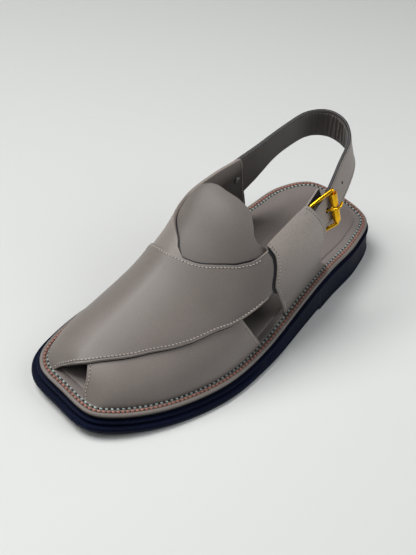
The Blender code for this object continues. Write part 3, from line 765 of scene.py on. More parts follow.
# Each finish: its maker, a colour of the group or one of its own, a factor, and the maker's settings
Finish = namedtuple("Finish", "maker base factor settings", defaults=(1.0, ()))
FINISHES = {
    "taupe_leather": Finish(make_leather, "leather"),
    # The factors of the tongue, over-strap, quarter and heel-strap leathers make darker and lighter copies
    # of one leather: painted shade, and painted light on the heel strap.
    "tongue_leather": Finish(make_leather, "leather", 0.65, (0.9, 0.52)),
    "over_leather": Finish(make_leather, "leather", 0.80),
    "quarter_leather": Finish(make_leather, "leather", 0.84, (1.0, 0.46, 1.25, painted_light_fold)),
    "strap_leather": Finish(make_leather, "leather", 1.5),
    "welt_leather": Finish(make_leather, "leather", 0.84, (0.8, 0.5, 1.15)),
    "welt_inside": Finish(make_leather, "footbed", 1.0, (0.6, 0.6, 1.0, painted_shade_under_straps)),
    "footbed_leather": Finish(make_leather, "footbed", 1.0, (0.6, 0.55, 1.1, painted_shade_under_straps)),
    "leather_edge": Finish(make_edge, "edge"),
    "welt_side": Finish(make_edge, (0.050, 0.042, 0.037)),
    # Near-black: the walls of the strap holes, and painted shade in the roller ends and under the panel
    # edges.
    "dark_edge": Finish(make_edge, (0.007, 0.0075, 0.010)),
    "strap_edge": Finish(make_edge, (0.105, 0.095, 0.088)),
    "strap_lining": Finish(make_lining, "lining"),
    "guard_lining": Finish(make_lining, (0.022, 0.022, 0.027)),
    "flesh_side": Finish(make_inside, "inside"),
    "panel_thread": Finish(make_thread, "thread"),
    "strap_thread": Finish(make_thread, "thread", 0.6),
    "brown_thread": Finish(make_thread, (0.075, 0.050, 0.042)),
    "teal_thread": Finish(make_thread, "teal"),
    "rust_thread": Finish(make_thread, "rust"),
    "black_thread": Finish(make_thread, (0.010, 0.010, 0.011)),
    "navy_rubber": Finish(make_rubber, "rubber"),
    "midsole_black": Finish(make_rubber, (0.003, 0.003, 0.004)),
    "gold_plate": Finish(make_metal, "gold", 1.0, (0.22,)),
    "dull_steel": Finish(make_metal, (0.16, 0.15, 0.145), 1.0, (0.26,)),
    "studio_floor": Finish(make_floor, "floor"),
}


def finish_named(name):
    """The material of that name, made the first time it is asked for."""
    found = bpy.data.materials.get(name)
    if found:
        return found
    finish = FINISHES[name]
    base = tuple(getattr(colours(), finish.base)) if isinstance(finish.base, str) else finish.base
    return finish.maker(name, shade(base, finish.factor), *finish.settings)


def grid(rows, columns, place, wrap=False):
    """A sheet whose corners are set by place(row share, column share), joined to itself if it wraps."""
    shape = bmesh.new()
    bmesh.ops.create_grid(shape, x_segments=columns, y_segments=rows, size=0.5)
    for vert in shape.verts:
        vert.co = place(vert.co.y + 0.5, vert.co.x + 0.5)
    if wrap:
        bmesh.ops.remove_doubles(shape, verts=shape.verts, dist=1e-6)
    return shape


def place_piece(shape, name, materials, replaced=(), angle=35):
    """Makes the shape an object that rides on the shoe, with its materials."""
    mesh = bpy.data.meshes.new(name)
    shape.to_mesh(mesh)
    shape.free()
    mesh.shade_smooth()
    mesh.set_sharp_from_angle(angle=math.radians(angle))
    for finish in materials:
        mesh.materials.append(finish_named(finish))
    obj = bpy.data.objects.new(name, mesh)
    bpy.context.scene.collection.objects.link(obj)
    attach(obj, "root")
    if replaced:
        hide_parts(*replaced)
    return obj


def apply_modifiers(obj):
    graph = bpy.context.evaluated_depsgraph_get()
    mesh = bpy.data.meshes.new_from_object(obj.evaluated_get(graph))
    obj.modifiers.clear()
    obj.data = mesh


def wall(obj, thickness, round_edge):
    """Gives a sheet its thickness, an edge finish and rounded edges."""
    solid = obj.modifiers.new("Wall", "SOLIDIFY")
    solid.thickness = thickness
    solid.offset = 0
    solid.use_even_offset = True
    solid.material_offset = 1
    solid.material_offset_rim = 2
    bevel = obj.modifiers.new("Edge", "BEVEL")
    bevel.width = round_edge
    bevel.segments = 3
    bevel.limit_method = "ANGLE"
    bevel.angle_limit = math.radians(50)
    apply_modifiers(obj)
    obj.data.shade_smooth()
    obj.data.set_sharp_from_angle(angle=math.radians(50))


def turned(shape, spot, way):
    """Turns an open sheet so that its face nearest a spot looks the given way."""
    shape.normal_update()
    near = min(shape.faces, key=lambda face: (face.calc_center_median() - spot).length)
    if near.normal.dot(way) < 0:
        bmesh.ops.reverse_faces(shape, faces=shape.faces)
    return shape


def make_panel(name, panel, rows, columns, materials, replaced):
    middle = panel.point(0.5, 0.5)
    shape = turned(grid(rows, columns, panel.point), middle, panel.point(0.5, 0.5, GAP) - middle)
    obj = place_piece(shape, name, materials, replaced)
    wall(obj, panel.thickness, sizes().edge_round)


def layer(rings):
    """A closed body through rings of the sole's outline, each an outset and a height function."""
    lines = [(outline(outset), height) for outset, height in rings]
    count = len(WELT_OUTLINE)

    def place(row_share, column_share):
        points, height = lines[round(row_share * (len(lines) - 1))]
        spot = points[round(column_share * count) % count]
        return Vector((spot.x, spot.y, height(spot.y)))

    shape = grid(len(lines) - 1, count, place, wrap=True)
    close_ends(shape)
    bmesh.ops.recalc_face_normals(shape, faces=shape.faces)
    return shape


def close_ends(shape):
    """Fills each open rim with a ladder of faces from side to side."""
    rims = []
    left = {edge for edge in shape.edges if edge.is_boundary}
    while left:
        edge = left.pop()
        rim = [edge.verts[0], edge.verts[1]]
        while True:
            after = [e for e in rim[-1].link_edges if e in left]
            if not after:
                break
            left.discard(after[0])
            rim.append(after[0].other_vert(rim[-1]))
        rims.append(rim[:-1] if rim[-1] is rim[0] else rim)
    for rim in rims:
        start = max(range(len(rim)), key=lambda index: rim[index].co.y)
        rim = rim[start:] + rim[:start]
        for index in range(len(rim) // 2):
            corners = [rim[index], rim[index + 1], rim[-index - 1], rim[-index]]
            corners = list(dict.fromkeys(corners))
            if len(corners) > 2:
                shape.faces.new(corners)


def raised(base, height):
    return lambda along: base(along) + height


def rubber_top(along):
    return welt_top(along) - WELT_THICKNESS - MIDSOLE_THICKNESS - 2 * GAP


def sole_bottom(along):
    return ground(along) + arch(along)


def rubber_rim(along):
    return max(ground(along) + RIM_HEIGHT, sole_bottom(along) + 0.0016)


# The rubber's side in steps outwards and up, at its bottom edge, its flared rim and its top lip
BOTTOM_PROFILE = (
    (-0.0062, 0.0013), (-0.0058, 0.0003), (-0.0054, 0.0), (-0.0012, 0.0), (-0.0003, 0.0004), (0.0, 0.0012)
)
RIM_PROFILE = ((0.0, 0.0), (-0.0004, 0.0003), (-0.0006, 0.0006), (-0.0008, 0.0014))
LIP_PROFILE = (
    (-0.0006, -0.0031), (-0.0006, -0.0024), (-0.0001, -0.0021), (0.0, -0.0016), (0.0, -0.0007),
    (-0.0003, -0.0002), (-0.0009, 0.0),
)
TREAD_INSET = 0.0085
RIB_SPACING = 0.0062
SHORTEST_RIB = 0.012

# The welt's side in steps outwards and up from its top edge, and the groove under each row of stitches
WELT_PROFILE = (
    (-0.0010, -WELT_THICKNESS), (-0.0003, 0.0002 - WELT_THICKNESS), (0.0, 0.0007 - WELT_THICKNESS),
    (0.0, -0.0012), (-0.0002, -0.0006), (-0.0007, -0.0002), (-0.0014, 0.0),
)
UNDER_STRAPS_MARGIN = WELT_MARGIN + LEATHER / 2
GROOVE_PROFILE = ((-0.0007, 0.0), (-0.0003, 0.0003), (0.0003, 0.0003), (0.0007, 0.0))
WELT_MIDDLE_AREA = 3e-5

# Rows of the welt's stitching: margin from its edge, stitch and thread as shares of their sizes, gap
WeltRow = namedtuple("WeltRow", "name margin stitch gap thread finishes")
WELT_ROWS = (
    WeltRow("welt_stitches_rust", 0.0031, 0.9, 0.0008, 1.35, ["rust_thread", "brown_thread"]),
    WeltRow("welt_stitches_teal", 0.0054, 0.8, 0.0016, 1.10, ["teal_thread", "black_thread"]),
)

# The footbed's soft edge: how far inwards, and the share of its height there
FOOTBED_PROFILE = (
    (0.0, 0.1), (0.0002, 0.22), (0.0009, 0.36), (0.0024, 0.54), (0.0045, 0.72), (0.0075, 0.88),
    (0.011, 0.97), (0.015, 1.0),
)


def rounded(points, radius, steps, ring):
    """Points with each corner turned into a short bend."""
    result = []
    count = len(points)
    for index, corner in enumerate(points):
        if not ring and index in (0, count - 1):
            result.append(corner)
            continue
        before = points[index - 1] - corner
        after = points[(index + 1) % count] - corner
        reach = min(radius, before.length / 2.2, after.length / 2.2)
        start, end = corner + before.normalized() * reach, corner + after.normalized() * reach
        for step in range(steps + 1):
            share = step / steps
            result.append(start.lerp(corner, share).lerp(corner.lerp(end, share), share))
    return result


def rod(points, radius, ring):
    """A round wire through points, as a bmesh."""
    curve = bpy.data.curves.new("wire", "CURVE")
    curve.dimensions = "3D"
    curve.bevel_depth = radius
    curve.bevel_resolution = 6
    curve.use_fill_caps = True
    line = curve.splines.new("POLY")
    line.points.add(len(points) - 1)
    for spot, point in zip(line.points, points):
        spot.co = (*point, 1)
    line.use_cyclic_u = ring
    wire = bpy.data.objects.new("wire", curve)
    bpy.context.scene.collection.objects.link(wire)
    graph = bpy.context.evaluated_depsgraph_get()
    mesh = bpy.data.meshes.new_from_object(wire.evaluated_get(graph))
    bpy.data.objects.remove(wire)
    shape = bmesh.new()
    shape.from_mesh(mesh)
    bmesh.ops.remove_doubles(shape, verts=shape.verts, dist=1e-6)
    bmesh.ops.recalc_face_normals(shape, faces=shape.faces)
    return shape


def round_edges(shape, edges, offset, segments):
    bmesh.ops.bevel(
        shape,
        geom=list(edges),
        offset=offset,
        affect="EDGES",
        segments=segments,
        profile=0.5,
        material=-1,
    )


def basis(side, normal, along):
    """A turn whose columns are three directions."""
    return Matrix((side, normal, along)).transposed().to_4x4()


def pin(start, end, radius, segments):
    """A plain round pin from one point to another, as a bmesh."""
    shape = bmesh.new()
    bmesh.ops.create_cone(
        shape,
        cap_ends=True,
        segments=segments,
        radius1=radius,
        radius2=radius,
        depth=(end - start).length,
    )
    turn = (end - start).to_track_quat("Z", "Y").to_matrix().to_4x4()
    bmesh.ops.transform(shape, matrix=Matrix.Translation((start + end) / 2) @ turn, verts=shape.verts)
    return shape


def merge(shape, other):
    """Adds another bmesh to this one."""
    mesh = bpy.data.meshes.new("part")
    other.to_mesh(mesh)
    other.free()
    shape.from_mesh(mesh)
    bpy.data.meshes.remove(mesh)


def cut_away(obj, shapes, finish):
    """Cuts shapes out of a piece with exact Booleans."""
    for shape in shapes:
        mesh = bpy.data.meshes.new("cutter")
        shape.to_mesh(mesh)
        shape.free()
        mesh.materials.append(finish_named(finish))
        tool = bpy.data.objects.new("cutter", mesh)
        bpy.context.scene.collection.objects.link(tool)
        cut = obj.modifiers.new("Cut", "BOOLEAN")
        cut.operation = "DIFFERENCE"
        cut.solver = "EXACT"
        cut.material_mode = "TRANSFER"
        cut.object = tool
        apply_modifiers(obj)
        bpy.data.objects.remove(tool)


BATCH_VERTS = 500


class Stitching:
    """Rows of stitches, gathered from small batches because a bead is slow to add to a big mesh."""

    def __init__(self):
        self.shape = bmesh.new()
        self.batch = bmesh.new()

    def add(self, spot, along, normal, size, width, index=0, lean=0.12, sink=0.15):
        """One flattened bead that lies along the seam and leans a little."""
        side = along.cross(normal).normalized()
        along = (along + side * lean).normalized()
        side = along.cross(normal).normalized()
        normal = side.cross(along)
        scale = Matrix.Diagonal((width / 2, width * 0.42, size / 2, 1))
        place = Matrix.Translation(spot + normal * width * sink) @ basis(side, normal, along) @ scale
        made = bmesh.ops.create_uvsphere(self.batch, u_segments=8, v_segments=6, radius=1, matrix=place)
        if index:
            for face in {face for vert in made["verts"] for face in vert.link_faces}:
                face.material_index = index
        if len(self.batch.verts) > BATCH_VERTS:
            self.gather()

    def gather(self):
        merge(self.shape, self.batch)
        self.batch = bmesh.new()
        return self.shape

    def line(self, line, stitch, gap, width, hole_width):
        """Stitches along points with normals, with a dark bead in each gap as painted shade in the stitch
        hole.
        """
        pitch = stitch + gap
        ahead = pitch / 2
        for (a, a_normal), (b, b_normal) in zip(line, line[1:]):
            run = (b - a).length
            while ahead <= run:
                share = ahead / run
                way = (b - a).normalized()
                normal = a_normal.lerp(b_normal, share).normalized()
                spot = a.lerp(b, share)
                self.add(spot, way, normal, stitch, width)
                # Painted shade in the stitch hole between two stitches.
                self.add(spot + way * pitch / 2, way, normal, gap * 1.6, hole_width, 1, 0.0, 0.0)
                ahead += pitch
            ahead -= run


def sole_line(margin, height):
    """Points on the welt's top all along the outline, with the way up."""
    points = outline(-margin)
    up = Vector((0, 0, 1))
    return [(Vector((spot.x, spot.y, welt_top(spot.y) + height)), up) for spot in (*points, points[0])]


Light = namedtuple("Light", "name spot size power tint")
LIGHTS = (
    Light("key", (-0.66, -0.30, 1.22), 0.9, 19.0, (1.0, 0.985, 0.97)),
    Light("fill", (0.75, 0.70, 0.95), 1.0, 6.5, (0.97, 0.98, 1.0)),
    Light("front", (-0.7, -1.0, 0.9), 1.0, 3.6, (1.0, 1.0, 1.0)),
)
SKY_COLOUR = (0.97, 0.985, 1.0, 1)
SKY_STRENGTH = 0.14


class CHAPPAL_OT_stage(bpy.types.Operator):
    """Build the floor, the lights and the camera"""

    bl_idname = "chappal.stage"
    bl_label = "Studio"

    def execute(self, context):
        scene = context.scene
        scene.view_settings.view_transform = "Standard"
        shape = bmesh.new()
        bmesh.ops.create_grid(shape, x_segments=8, y_segments=8, size=3.0)
        mesh = bpy.data.meshes.new("floor")
        shape.to_mesh(mesh)
        shape.free()
        mesh.materials.append(finish_named("studio_floor"))
        floor = bpy.data.objects.new("floor", mesh)
        scene.collection.objects.link(floor)
        world = bpy.data.worlds.new("studio")
        world.use_nodes = True
        background = world.node_tree.nodes["Background"]
        background.inputs["Color"].default_value = SKY_COLOUR
        background.inputs["Strength"].default_value = SKY_STRENGTH
        scene.world = world
        for row in LIGHTS:
            self.add_light(row)
        self.add_camera(scene)
        return {"FINISHED"}

    def add_light(self, row):
        light = bpy.data.lights.new(row.name, "AREA")
        light.shape = "DISK"
        light.size = row.size
        light.energy = row.power
        light.color = row.tint
        lamp = bpy.data.objects.new(row.name, light)
        lamp.location = row.spot
        lamp.rotation_euler = (-Vector(row.spot)).to_track_quat("-Z", "Y").to_euler()
        bpy.context.scene.collection.objects.link(lamp)

    def add_camera(self, scene):
        azimuth, elevation, roll = (
            math.radians(angle) for angle in (CAMERA_AZIMUTH, CAMERA_ELEVATION, CAMERA_ROLL)
        )
        back = Vector(
            (
                math.sin(azimuth) * math.cos(elevation),
                -math.cos(azimuth) * math.cos(elevation),
                math.sin(elevation),
            )
        )
        right = Vector((math.cos(azimuth), math.sin(azimuth), 0))
        up = back.cross(right)
        right, up = (
            right * math.cos(roll) + up * math.sin(roll),
            up * math.cos(roll) - right * math.sin(roll),
        )
        data = bpy.data.cameras.new("camera")
        data.sensor_width = SENSOR
        data.lens = CAMERA_FOCUS * SENSOR / FRAME_LONG_SIDE
        data.clip_start = 0.01
        camera = bpy.data.objects.new("camera", data)
        camera.matrix_world = Matrix.Translation(
            Vector(CAMERA_TARGET) + back * CAMERA_DISTANCE
        ) @ basis(right, up, back)
        scene.collection.objects.link(camera)
        scene.camera = camera


class CHAPPAL_OT_sole(bpy.types.Operator):
    """Build the rubber sole with its tread, and finish the midsole"""

    bl_idname = "chappal.sole"
    bl_label = "Rubber sole"

    def execute(self, context):
        self.add_rubber()
        self.add_tread()
        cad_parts["midsole"].data.materials[0] = finish_named("midsole_black")
        return {"FINISHED"}

    def add_rubber(self):
        rings = [
            (edge + out, raised(base, height))
            for edge, base, profile in (
                (SOLE_FLARE, sole_bottom, BOTTOM_PROFILE),
                (SOLE_FLARE, rubber_rim, RIM_PROFILE),
                (LIP_PROUD, rubber_top, LIP_PROFILE),
            )
            for out, height in profile
        ]
        place_piece(layer(rings), "rubber_sole", ["navy_rubber"], ["outsole"], 40)

    def add_tread(self):
        """Cross ribs under the forefoot and the heel, inside the sole's rim."""
        shape = bmesh.new()
        inner = across_table(SOLE_FLARE - TREAD_INSET)
        along = -0.93 * HALF_LENGTH
        while along < 0.94 * HALF_LENGTH:
            if not ARCH_FRONT - 0.004 < along < HEEL_BREAST + 0.006:
                self.add_rib(shape, [across_at(inner, along, side) for side in (1, -1)], along)
            along += RIB_SPACING
        place_piece(shape, "sole_tread", ["navy_rubber"])

    def add_rib(self, shape, ends, along):
        width = abs(ends[0] - ends[1])
        if width < SHORTEST_RIB:
            return
        middle = Vector(((ends[0] + ends[1]) / 2, along, ground(along) + 0.0009))
        scale = Matrix.Diagonal((width, 0.0030, 0.0017, 1))
        made = bmesh.ops.create_cube(shape, size=1, matrix=Matrix.Translation(middle) @ scale)
        round_edges(shape, {edge for vert in made["verts"] for edge in vert.link_edges}, 0.0004, 2)


class CHAPPAL_OT_welt(bpy.types.Operator):
    """Build the leather welt and its two rows of stitching"""

    bl_idname = "chappal.welt"
    bl_label = "Welt"

    def execute(self, context):
        profile = list(WELT_PROFILE)
        for row in WELT_ROWS:
            profile += [(-row.margin - step, -depth) for step, depth in GROOVE_PROFILE]
        profile += [(-margin, 0.0) for margin in (0.0075, UNDER_STRAPS_MARGIN, 0.0110)]
        shape = layer([(outset, raised(welt_top, height)) for outset, height in profile])
        inner = across_table(0.0001 - UNDER_STRAPS_MARGIN)
        for face in shape.faces:
            middle = face.calc_center_median()
            if middle.z < welt_top(middle.y) - 0.0011:
                face.material_index = 1
            elif face.calc_area() > WELT_MIDDLE_AREA or self.inside(middle, inner):
                face.material_index = 2
        finishes = ["welt_leather", "welt_side", "welt_inside"]
        place_piece(shape, "welt_strip", finishes, ["welt"], 60)
        for row in WELT_ROWS:
            self.add_row(row)
        return {"FINISHED"}

    def inside(self, spot, edges):
        """Whether a spot on the welt lies inside the straps' foot."""
        return across_at(edges, spot.y, -1) < spot.x < across_at(edges, spot.y, 1)

    def add_row(self, row):
        thread = sizes().welt_thread * row.thread
        rows = Stitching()
        stitch = sizes().welt_stitch * row.stitch
        rows.line(sole_line(row.margin, -0.0001), stitch, row.gap, thread, thread * 1.05)
        place_piece(rows.gather(), row.name, row.finishes, (), 60)


class CHAPPAL_OT_footbed(bpy.types.Operator):
    """Build the leather footbed with its soft edge"""

    bl_idname = "chappal.footbed"
    bl_label = "Footbed"

    def execute(self, context):
        height = INSOLE_THICKNESS + GAP
        rings = [
            (-INSOLE_MARGIN - inward, raised(welt_top, height * share)) for inward, share in FOOTBED_PROFILE
        ]
        place_piece(layer(rings), "footbed", ["footbed_leather"], ["insole"], 60)
        return {"FINISHED"}


# Rows of stitching on the panels: the edge, how much further in than the seam inset, the stretch, and
# the outer (1) or inner (-1) face
Seam = namedtuple("Seam", "panel edge further start end face")
SEAMS = table(
    Seam,
    (OVER_STRAP, "front", 0.0, 0.12, 0.975, 1),
    (OVER_STRAP, "rear", 0.0, 0.02, 0.635, 1),
    (OVER_STRAP, "rear", 0.0022, 0.02, 0.10, 1),
    (UNDER_STRAP, "front", 0.0, 0.20, 0.40, 1),
    (UNDER_STRAP, "rear", 0.0, 0.0, 0.10, 1),
    (UNDER_STRAP, "rear", 0.0, 0.53, 1.0, 1),
    (UNDER_STRAP, "rear", 0.0, 0.80, 1.0, -1),
    (QUARTER, "front", 0.0, 0.02, 0.82, 1),
    (QUARTER, "rear", 0.0, 0.42, 0.97, 1),
)

# Dark lining that shows past a panel's edge, also painted shadow in the gap under it: the edge, the stretch,
# how far it shows, and its drop
LiningEdge = namedtuple("LiningEdge", "panel edge start end shows drop")
LINING_SHADOW_EDGES = table(
    LiningEdge,
    (UNDER_STRAP, "rear", 0.36, 0.58, 0.0011, 0.0),
    (OVER_STRAP, "rear", 0.02, 0.66, 0.0013, 0.0),
    (OVER_STRAP, "front", 0.10, 0.97, 0.0008, 0.0),
    (QUARTER, "front", 0.40, 0.79, 0.0028, 0.0007),
)
LINING_TUCK = 0.0016
LINING_RISE = 0.00008
LINING_THICKNESS = 0.00014


def add_lining_shadow_edge(shape, row):
    """A dark closed ribbon under a panel's edge, narrow at its ends: partly the lining and partly painted
    shadow under the edge.
    """
    lines = [
        row.panel.seam(row.edge, inset, row.start, row.end, -1) for inset in (-row.shows, 0.0, LINING_TUCK)
    ]

    def place(row_share, column_share):
        column = round(column_share * 6) % 6
        index = round(row_share * SEAM_STEPS)
        spot, normal = lines[min(column, 5 - column)][index]
        if column in (0, 5):
            ends = smooth(row_share, 0.0, 0.12) * smooth(row_share, 1.0, 0.88)
            spot = lines[1][index][0].lerp(spot, ends)
        return spot + normal * (LINING_RISE - row.drop + (LINING_THICKNESS if column > 2 else 0.0))

    sheet = grid(SEAM_STEPS, 6, place, wrap=True)
    bmesh.ops.holes_fill(sheet, edges=[edge for edge in sheet.edges if edge.is_boundary], sides=0)
    bmesh.ops.recalc_face_normals(sheet, faces=sheet.faces)
    merge(shape, sheet)


class CHAPPAL_OT_straps(bpy.types.Operator):
    """Build the crossed vamp straps, the outer quarter and their stitching"""

    bl_idname = "chappal.straps"
    bl_label = "Vamp straps"

    def execute(self, context):
        for name, panel, rows, columns, finish in (
            ("under_strap", UNDER_STRAP, 150, 44, "taupe_leather"),
            ("over_strap", OVER_STRAP, 150, 44, "over_leather"),
            ("outer_quarter", QUARTER, 90, 30, "quarter_leather"),
        ):
            make_panel(name, panel, rows, columns, [finish, "flesh_side", "leather_edge"], ["upper"])
        self.add_stitches()
        # Dark ribbons under the panels' edges: lining, and painted shadow in the gaps.
        shape = bmesh.new()
        for row in LINING_SHADOW_EDGES:
            add_lining_shadow_edge(shape, row)
        place_piece(shape, "panel_lining_edges", ["dark_edge"], (), 60)
        return {"FINISHED"}

    def add_stitches(self):
        size = sizes()
        rows = Stitching()
        for row in SEAMS:
            line = row.panel.seam(row.edge, size.seam_inset + row.further, row.start, row.end, row.face)
            rows.line(line, size.stitch, size.stitch_gap, size.thread, size.thread * 0.85)
        finishes = ["panel_thread", "black_thread"]
        place_piece(rows.gather(), "panel_stitches", finishes, (), 60)


class CHAPPAL_OT_tongue(bpy.types.Operator):
    """Build the domed tongue"""

    bl_idname = "chappal.tongue"
    bl_label = "Tongue"

    def execute(self, context):
        finishes = ["tongue_leather", "flesh_side", "leather_edge"]
        make_panel("tongue_cap", TONGUE, 90, 30, finishes, ["tongue"])
        return {"FINISHED"}


def wrinkle_depth(share, column):
    """How far the lining's wrinkles push in at a place of the strap."""
    fade = smooth(column, 0.0, 0.16) * smooth(column, 1.0, 0.86)
    total = 0.0
    for wrinkle in WRINKLES:
        away = (share - wrinkle.place - wrinkle.lean * (column - 0.5)) / wrinkle.spread
        total += wrinkle.depth * math.exp(-away * away)
    return total * fade


class CHAPPAL_OT_heel_strap(bpy.types.Operator):
    """Build the heel strap: outer leather, wrinkled lining, holes and edge stitching"""

    bl_idname = "chappal.heel_strap"
    bl_label = "Heel strap"

    def execute(self, context):
        skin = STRAP_THICKNESS / 2

        def outer(share, column):
            return strap_point(share, column, skin / 2)

        def inner(share, column):
            return strap_point(share, 0.012 + 0.976 * column, -skin / 2 - wrinkle_depth(share, column))

        middle, _, _, outward_way = strap_frame(0.5)
        for name, sheet, finishes in (
            ("heel_strap_leather", grid(260, 24, outer), ["strap_leather", "strap_leather", "leather_edge"]),
            ("heel_strap_lining", grid(360, 30, inner), ["strap_lining", "strap_lining", "strap_edge"]),
        ):
            shape = turned(sheet, middle, outward_way)
            obj = place_piece(shape, name, finishes, ["heel_strap"])
            wall(obj, skin, sizes().edge_round)
            cut_away(obj, self.hole_pins(), "dark_edge")
        size = sizes()
        rows = Stitching()
        for column, out in ((0.0, 1), (1.0, 1), (1.0, -1)):
            line = self.edge_line(column, out)
            rows.line(line, size.stitch, size.stitch_gap, size.thread * 0.8, size.thread * 0.5)
        finishes = ["strap_thread", "black_thread"]
        place_piece(rows.gather(), "strap_stitches", finishes, (), 60)
        return {"FINISHED"}

    def hole_pins(self):
        shapes = []
        for step, radius in enumerate((WORN_HOLE_RADIUS, HOLE_RADIUS, HOLE_RADIUS)):
            back = PRONG_HOLE + step * HOLE_SPACING
            middle, _, _, outward_way = strap_frame(BUCKLE_SHARE - back / STRAP_RUN)
            reach = outward_way * STRAP_THICKNESS
            shapes.append(pin(middle - reach, middle + reach, radius, 20))
        return shapes

    def edge_line(self, column, out):
        """Points along the strap's lower (0) or upper (1) edge, on its outer (1) or inner (-1) face."""
        line = []
        inset = 0.0022 / STRAP_WIDTH
        at = column + inset if column < 0.5 else column - inset
        steps = 300
        for index in range(steps + 1):
            share = 0.12 + 0.87 * index / steps
            away = STRAP_THICKNESS / 2 + (wrinkle_depth(share, at) if out < 0 else 0)
            _, _, _, outward_way = strap_frame(share)
            line.append((strap_point(share, at, out * away), outward_way * out))
        return line


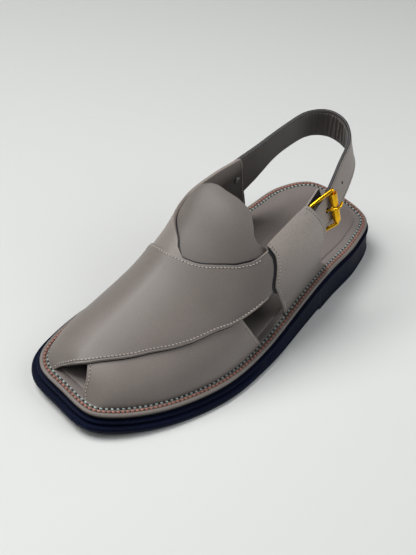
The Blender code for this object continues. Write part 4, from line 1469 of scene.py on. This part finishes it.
class CHAPPAL_OT_buckle(bpy.types.Operator):
    """Build the buckle, the tab behind it and the strap's rivet"""

    bl_idname = "chappal.buckle"
    bl_label = "Buckle and rivet"

    def execute(self, context):
        self.add_frame()
        self.add_rollers()
        self.add_prong()
        self.add_guard()
        self.add_rivet()
        return {"FINISHED"}

    def add_frame(self):
        w = FRAME_HALF
        reach, drop = HINGE_BACK + 0.0012, 0.0012
        ring = (
            (-reach, -w, HINGE_IN),
            (-reach, w - drop, HINGE_IN),
            (-reach * 0.5, w - drop * 0.4, (ROLLER_OUT + HINGE_IN) / 2),
            (-reach * 0.06, w, ROLLER_OUT),
            (0, w, ROLLER_OUT),
            (0, -w, ROLLER_OUT),
            (-reach * 0.06, -w, ROLLER_OUT),
            (-reach * 0.5, -w, (ROLLER_OUT + HINGE_IN) / 2),
        )
        points = rounded([buckle_point(*spot) for spot in ring], 0.0016, 5, True)
        shape = rod(points, BAR_RADIUS, True)
        place_piece(shape, "buckle_bar", ["gold_plate"], ["buckle_frame"], 60)

    def add_rollers(self):
        for name, side in (("buckle_roller_upper", 1), ("buckle_roller_lower", -1)):
            start = buckle_point(0, side * (PRONG_RADIUS + GAP), ROLLER_OUT)
            end = buckle_point(0, side * (PRONG_RADIUS + GAP + ROLLER_LENGTH), ROLLER_OUT)
            shape = pin(start, end, ROLLER_RADIUS, 40)
            caps = [face for face in shape.faces if len(face.verts) > 4]
            bmesh.ops.inset_individual(shape, faces=caps, thickness=ROLLER_RADIUS * 0.24)
            middle = (start + end) / 2
            # The sunken cap ends are near-black, painted shade in the roller's hollow ends.
            for cap in caps:
                cap.material_index = 1
                sink = (middle - cap.calc_center_median()).normalized() * 0.0012
                bmesh.ops.translate(shape, verts=cap.verts, vec=sink)
            edges = [edge for edge in shape.edges if edge.calc_face_angle(0) > math.radians(60)]
            round_edges(shape, edges, 0.0003, 3)
            finishes = ["gold_plate", "dark_edge"]
            place_piece(shape, name + "_sleeve", finishes, [name], 40)

    def add_prong(self):
        hook = BAR_RADIUS + GAP + PRONG_RADIUS
        turns = [math.radians(turn) for turn in range(-230, 1, 23)]
        path = [(-HINGE_BACK + hook * math.cos(turn), HINGE_IN + hook * math.sin(turn)) for turn in turns]
        path += [
            (-0.0100, HINGE_IN + 0.0008),
            (-0.0070, -0.0022),
            (-0.0050, 0.0008),
            (-0.0038, 0.0040),
            (-0.0022, ROLLER_OUT + ROLLER_RADIUS),
            (0.0006, ROLLER_OUT + ROLLER_RADIUS + 0.0013),
            (0.0050, ROLLER_OUT + ROLLER_RADIUS + 0.0006),
        ]
        points = rounded([buckle_point(back, 0, out) for back, out in path], 0.0012, 4, False)
        shape = rod(points, PRONG_RADIUS, False)
        place_piece(shape, "buckle_tongue", ["gold_plate"], ["buckle_prong"], 60)

    def add_guard(self):
        middle, way, strap_up, outward_way = strap_frame(BUCKLE_SHARE)

        def place(row_share, column_share):
            back = GUARD_REACH - GUARD_LENGTH * row_share
            up = GUARD_TOP - (GUARD_TOP + STRAP_WIDTH / 2) * column_share
            return middle - way * back + strap_up * up + outward_way * GUARD_IN

        shape = turned(grid(40, 30, place), middle, outward_way)
        finishes = ["guard_lining", "guard_lining", "leather_edge"]
        guard = place_piece(shape, "guard_tab", finishes, ["buckle_guard"])
        wall(guard, GUARD_THICKNESS, 0.0003)

    def add_rivet(self):
        middle = on_last(RIVET_STATION, RIVET_AROUND)
        way = (on_last(RIVET_STATION, RIVET_AROUND, 0.01) - middle).normalized()
        place, _, _, away = strap_frame(RIVET_SHARE)
        reach = (place - middle).dot(away) / way.dot(away) + STRAP_THICKNESS / 2
        start = middle - way * (LEATHER / 2 + GAP)
        end = middle + way * (reach + GAP)
        shape = pin(start, end, RIVET_RADIUS, 20)
        for spot, side in ((start, -1), (end, 1)):
            turn = way.to_track_quat("Z", "Y").to_matrix().to_4x4()
            scale = Matrix.Diagonal((RIVET_CAP, RIVET_CAP, RIVET_CAP_HEIGHT, 1))
            bmesh.ops.create_uvsphere(
                shape, u_segments=28, v_segments=14, radius=1, matrix=Matrix.Translation(spot) @ turn @ scale
            )
        place_piece(shape, "rivet_caps", ["dull_steel"], ["strap_rivet"], 50)


class CHAPPAL_PT_panel(bpy.types.Panel):
    """Sizes, colours and pieces of the chappal"""

    bl_label = "Peshawari chappal"
    bl_idname = "CHAPPAL_PT_panel"
    bl_space_type = "VIEW_3D"
    bl_region_type = "UI"
    bl_category = "Chappal"

    def draw(self, context):
        for group in (context.scene.chappal_sizes, context.scene.chappal_colours):
            box = self.layout.box()
            for name in group.__annotations__:
                box.prop(group, name)
        for operator in OPERATORS:
            self.layout.operator(operator.bl_idname)


OPERATORS = (
    CHAPPAL_OT_stage,
    CHAPPAL_OT_sole,
    CHAPPAL_OT_welt,
    CHAPPAL_OT_footbed,
    CHAPPAL_OT_straps,
    CHAPPAL_OT_tongue,
    CHAPPAL_OT_heel_strap,
    CHAPPAL_OT_buckle,
)
GROUPS = (ChappalSizes, ChappalColours)


def register():
    for kind in (*GROUPS, *OPERATORS, CHAPPAL_PT_panel):
        bpy.utils.register_class(kind)
    bpy.types.Scene.chappal_sizes = bpy.props.PointerProperty(type=ChappalSizes)
    bpy.types.Scene.chappal_colours = bpy.props.PointerProperty(type=ChappalColours)


def unregister():
    del bpy.types.Scene.chappal_colours
    del bpy.types.Scene.chappal_sizes
    for kind in reversed((*GROUPS, *OPERATORS, CHAPPAL_PT_panel)):
        bpy.utils.unregister_class(kind)


def main():
    register()
    bpy.ops.chappal.stage()
    bpy.ops.chappal.sole()
    bpy.ops.chappal.welt()
    bpy.ops.chappal.footbed()
    bpy.ops.chappal.straps()
    bpy.ops.chappal.tongue()
    bpy.ops.chappal.heel_strap()
    bpy.ops.chappal.buckle()


if __name__ == "__main__":
    main()
